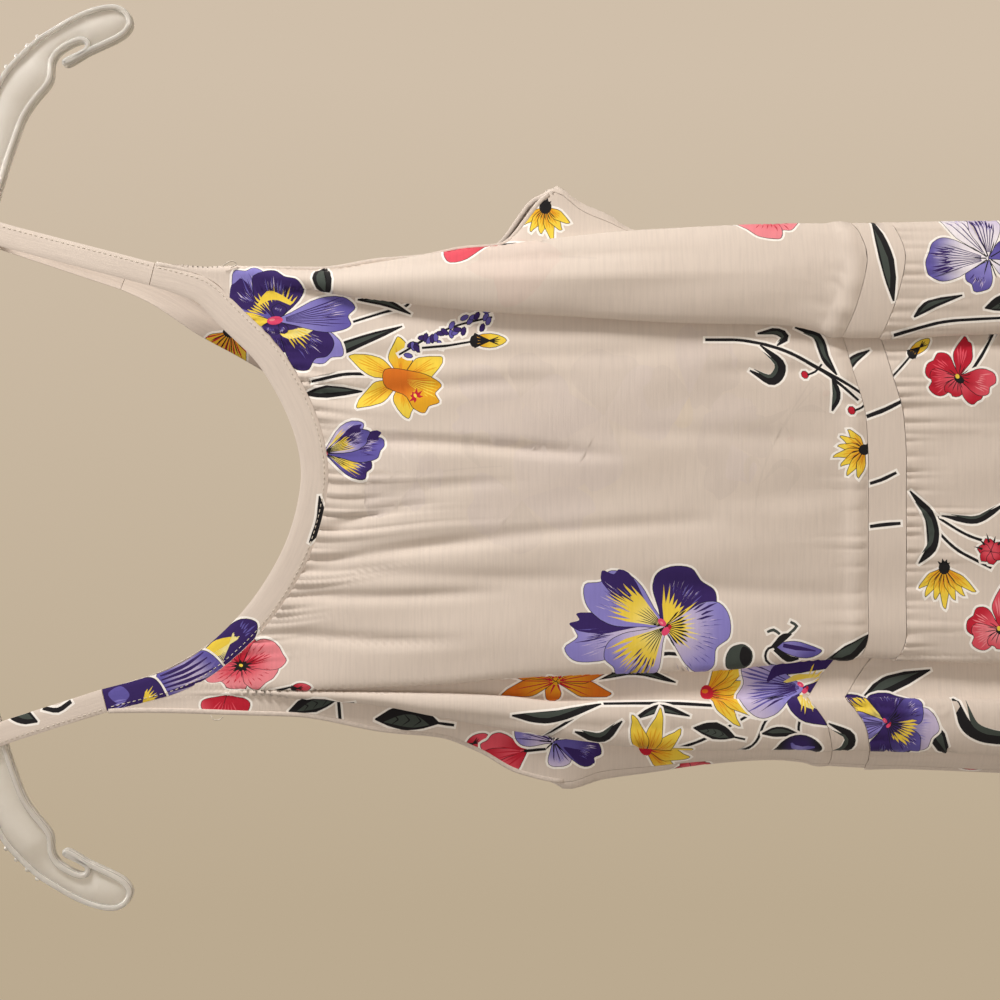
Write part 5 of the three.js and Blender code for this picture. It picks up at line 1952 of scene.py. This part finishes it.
FRONT_STRIP_PRINT = [
    (lone_leaf([(-11, 1), (0, -1), (12, 2)], 4.4, False), -31, -283),
    (shoulder_pansy_tip, -90, -240),
    (shoulder_pansy_fan, -106, -221),
    (shoulder_pansy_petal, -116, -194),
]
BACK_STRIP_PRINT = [(brown_flower, 62, -238, 1, 0)]
STRAP_PRINT = [
    (lone_leaf([(-7, -5), (0, 0), (8, 4)], 7), -125, -138.5),
    (bare_stem([(-7, 4), (0, 2), (7, 5)], 2.2), -124, -157),
    (bare_stem([(-8, -3), (0, 0), (8, -1)], 1.4), -123, -165),
    (bare_stem([(0, -6), (1, 0), (0, 6)], 1.6), -123, -171),
]
binding_front = dress(
    "neck_binding_front", front_strip, stamp(FRONT_STRIP_PRINT, front_strip.locate), BINDING
)
binding_back = dress(
    "neck_binding_back", back_strip, stamp(BACK_STRIP_PRINT, back_strip.locate), BINDING
)
for side, strip in strap_strips.items():
    layers = stamp(STRAP_PRINT, strip.locate) if side == "left" else []
    dress(f"strap_{side}", strip, layers, BINDING)


def trim(piece, material):
    piece.data.materials.append(material)
    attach(piece, "root")
    return piece


# Stitching along the neck strips and straps, and along the hem


def strip_run(strip, across, pitch=2.7):
    t = np.arange(3, strip.t[-1] - 2, pitch)
    low, high = strip.limits(t)
    flat = np.stack((t, np.where(across > 0, low + across, high + across)), axis=1)
    points, normals = strip.fold(flat)
    _, side, normal = strip.at(t)
    points = points + normal * (strip.thickness(flat) / 2)[:, None]
    return points, unit(np.cross(side, normal)), normals


def panel_run(panel, flat):
    points, normals = panel.fold(flat)
    along = unit(np.gradient(points, axis=0))
    return points + normals * SHELL / 2, along, normals


def hem_flat(panel, z, pitch=3.0):
    across = np.arange(panel.across[-3].min() + 3, panel.across[-3].max() - 3, pitch)
    return np.stack((across, np.full(len(across), float(z))), axis=1)


strip_runs = [strip_run(strip, 1.7) for strip in (front_strip, back_strip, *strap_strips.values())]
neck_stitches = trim(stitches("neck_stitches", strip_runs), THREAD)
skirts = [panels[name, "skirt"] for name in ("front", "back")]
hem_runs = [panel_run(skirt, hem_flat(skirt, HEM_Z + 16)) for skirt in skirts]
hem_stitches = trim(stitches("hem_stitches", hem_runs, 2.1), THREAD)


# Rolled edges of the armholes


def armhole_path(panel, column, underarm):
    s = panel.s[column]
    top = panel.upper[column] - 0.5
    z = np.arange(top, underarm, -3.0)
    flat = np.stack((panel.flat_of(np.full(len(z), s), z), z), axis=1)
    points, _ = panel.fold(flat)
    return points


edges = []
for name, side_panel in (("front", panels["front", "bodice"]), ("back", panels["back", "bodice"])):
    for column, underarm in ((0, UNDERARM_LEFT_Z), (-1, UNDERARM_RIGHT_Z)):
        path = armhole_path(side_panel, column, underarm)
        inward = 1.0 if column == 0 else -1.0
        edges.append(tube("edge", path + np.array((0.5 * inward, 0, 0)), 1.0, 8, flat=(1.25, 1.0)))
armhole_edges = trim(join("armhole_edges", edges), ROLLED)

# A few loose thread ends at the shoulders' seams
THREAD_ENDS = [
    [(91.5, -12.5, -237), (93, -13, -239), (94, -12.5, -242), (92.5, -12, -243.5), (91, -12.5, -241)],
    [(-124, -11, -231), (-126, -11.5, -232.5), (-126, -11, -235.5), (-124.5, -11.5, -237)],
]
loops = []
for ends in THREAD_ENDS:
    path = through(np.array(ends, float), np.linspace(0, len(ends) - 1, 30))
    loops.append(tube("loop", path, 0.3, 5))
thread_ends = trim(join("thread_ends", loops), THREAD)

# The hanger: a thin web inside a raised rim, small teeth on its shoulders, a collar and the hook
WEB = 4.2
RIM = 1.45
NIBS = (184.3, 189.7, 195, 199.9, 204.3)
NIB_REACH = 3.2
HOOK_BEARINGS = np.radians(-50 + np.arange(16) * 17.0)
HOOK_STEPS = 160
HOOK_TIP = (0.98, 0.94, 0.87, 0.76, 0.6, 0.38)  # shares of the wire's radius
COLLAR = [(-82, 7.5), (-78, 6.8), (-72, 5.6), (-66, 4.9), (-64.5, 4.4)]  # heights and radii


def upright(flat, y=0.0):
    """Stands flat points up in the hanger's plane."""
    return np.column_stack((flat[:, 0], np.full(len(flat), y), flat[:, 1]))


def hanger_web(outline):
    flat, triangles, _ = triangulate(outline, np.zeros((0, 2)), [])
    count = len(flat)
    walls = [(j, i, i + count, j + count) for i, j in rim_edges(triangles).tolist()]
    faces = [*triangles.tolist(), *(triangles[:, ::-1] + count).tolist(), *walls]
    points = np.concatenate((upright(flat, -WEB / 2), upright(flat, WEB / 2)))
    return thread_mesh("web", points, faces, False)


def hanger_hook():
    radius = HOOK_RADIUS + HOOK_WIRE
    x, z = radius * np.cos(HOOK_BEARINGS), radius * np.sin(HOOK_BEARINGS) - HOOK_RADIUS
    foot = np.array([(0, 0, ARM_TOP_Z - 6), (0, 0, -68), (1, 0, -56), (6, 0, -44.5)])
    control = np.concatenate((foot, np.stack((x, 0 * x, z), axis=1)))
    path = through(control, np.linspace(0, len(control) - 1, HOOK_STEPS))
    taper = np.full(HOOK_STEPS, float(HOOK_WIRE))
    taper[-len(HOOK_TIP) :] *= HOOK_TIP
    return tube("hook", path, taper, 20)


def hanger_teeth():
    shoulder = np.array(sorted(HANGER_OUTLINE[5:11]))
    teeth = []
    for sign in (-1, 1):
        for x in NIBS:
            z = np.interp(x, *shoulder.T)
            path = [(sign * x, y, z) for y in np.linspace(-NIB_REACH, NIB_REACH, 5)]
            teeth.append(tube("tooth", path, 1.1, 8))
    return teeth


right_half = np.array(HANGER_OUTLINE, float)
left_half = right_half[right_half[:, 0] > 0][::-1] * (-1, 1)
hanger_edge = closed_curve(np.concatenate((right_half, left_half)), 420)
rim_path = upright(offset(hanger_edge, -RIM))
rim = tube("rim", rim_path, 1.0, 16, closed=True, flat=(RIM, HANGER_THICKNESS / 2))
collar_path = [(0, 0, z) for z, _ in COLLAR]
collar = tube("collar", collar_path, [radius for _, radius in COLLAR], 24)
mouldings = [hanger_web(hanger_edge), rim, hanger_hook(), collar, *hanger_teeth()]
hanger_shell = trim(join("hanger_moulding", mouldings), PLASTIC)
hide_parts("hanger")

# The floor, a plain wall far behind that glows with painted light, light and camera, in metres
FLOOR_Z = -1.32
FLOOR_REACH = 2.2
WALL_Y = 3.4
WALL_HALF = (5, 4)
# Lights: name, place, what it points at, size, watts and colour
LIGHTS = [
    ("window", (1.3, -0.66, 0.42), (0, 0, -0.34), 0.4, 26, (1, 0.98, 0.965)),
    ("fill", (-0.5, -1.7, 0.9), (0, 0, -0.2), 1.4, 11.5, (1, 0.965, 0.93)),
    ("behind", (0.3, 1.6, 1.4), (0, 0, -0.6), 1.2, 20, (1, 0.98, 0.96)),
]
SENSOR = 36
CORNERS = ((-1, -1), (1, -1), (1, 1), (-1, 1))


def stage_plane(name, corners, material):
    mesh = bpy.data.meshes.new(name)
    mesh.from_pydata(corners, [], [(0, 1, 2, 3)])
    mesh.materials.append(material)
    linked(name, mesh)


def area_light(name, place, target, size, power, colour):
    light = bpy.data.lights.new(name, "AREA")
    light.shape = "DISK"
    light.size = size
    light.energy = power
    light.color = colour
    made = linked(name, light)
    made.location = place
    made.rotation_euler = (Vector(target) - Vector(place)).to_track_quat("-Z", "Y").to_euler()
    made.visible_camera = False


stage_plane("floor", [(x * FLOOR_REACH, y * FLOOR_REACH, FLOOR_Z) for x, y in CORNERS], FLOOR_PAINT)
stage_plane("wall", [(x * WALL_HALF[0], WALL_Y, z * WALL_HALF[1]) for x, z in CORNERS], WALL_GLOW_PAINTED_LIGHT)
for row in LIGHTS:
    area_light(*row)

world = bpy.data.worlds.new("room")
bpy.context.scene.world = world
world.use_nodes = True
sky = world.node_tree.nodes["Background"]
sky.inputs["Color"].default_value = (0.93, 0.84, 0.75, 1)
sky.inputs["Strength"].default_value = 0.3

camera_data = bpy.data.cameras.new("camera")
camera_data.sensor_width = SENSOR
camera_data.lens = SENSOR * CAMERA_DISTANCE / PHOTO_SPAN
camera_data.clip_start = 0.05
camera_data.clip_end = 50
camera = linked("camera", camera_data)
camera.matrix_world = Matrix((
    (0, 1, 0, PHOTO_CENTRE_X / 1000),
    (0, 0, -1, (CAMERA_LEVEL_Y - CAMERA_DISTANCE) / 1000),
    (-1, 0, 0, PHOTO_CENTRE_Z / 1000),
    (0, 0, 0, 1),
))
bpy.context.scene.camera = camera
bpy.context.scene.view_settings.view_transform = "Standard"

bpy.context.view_layer.update()
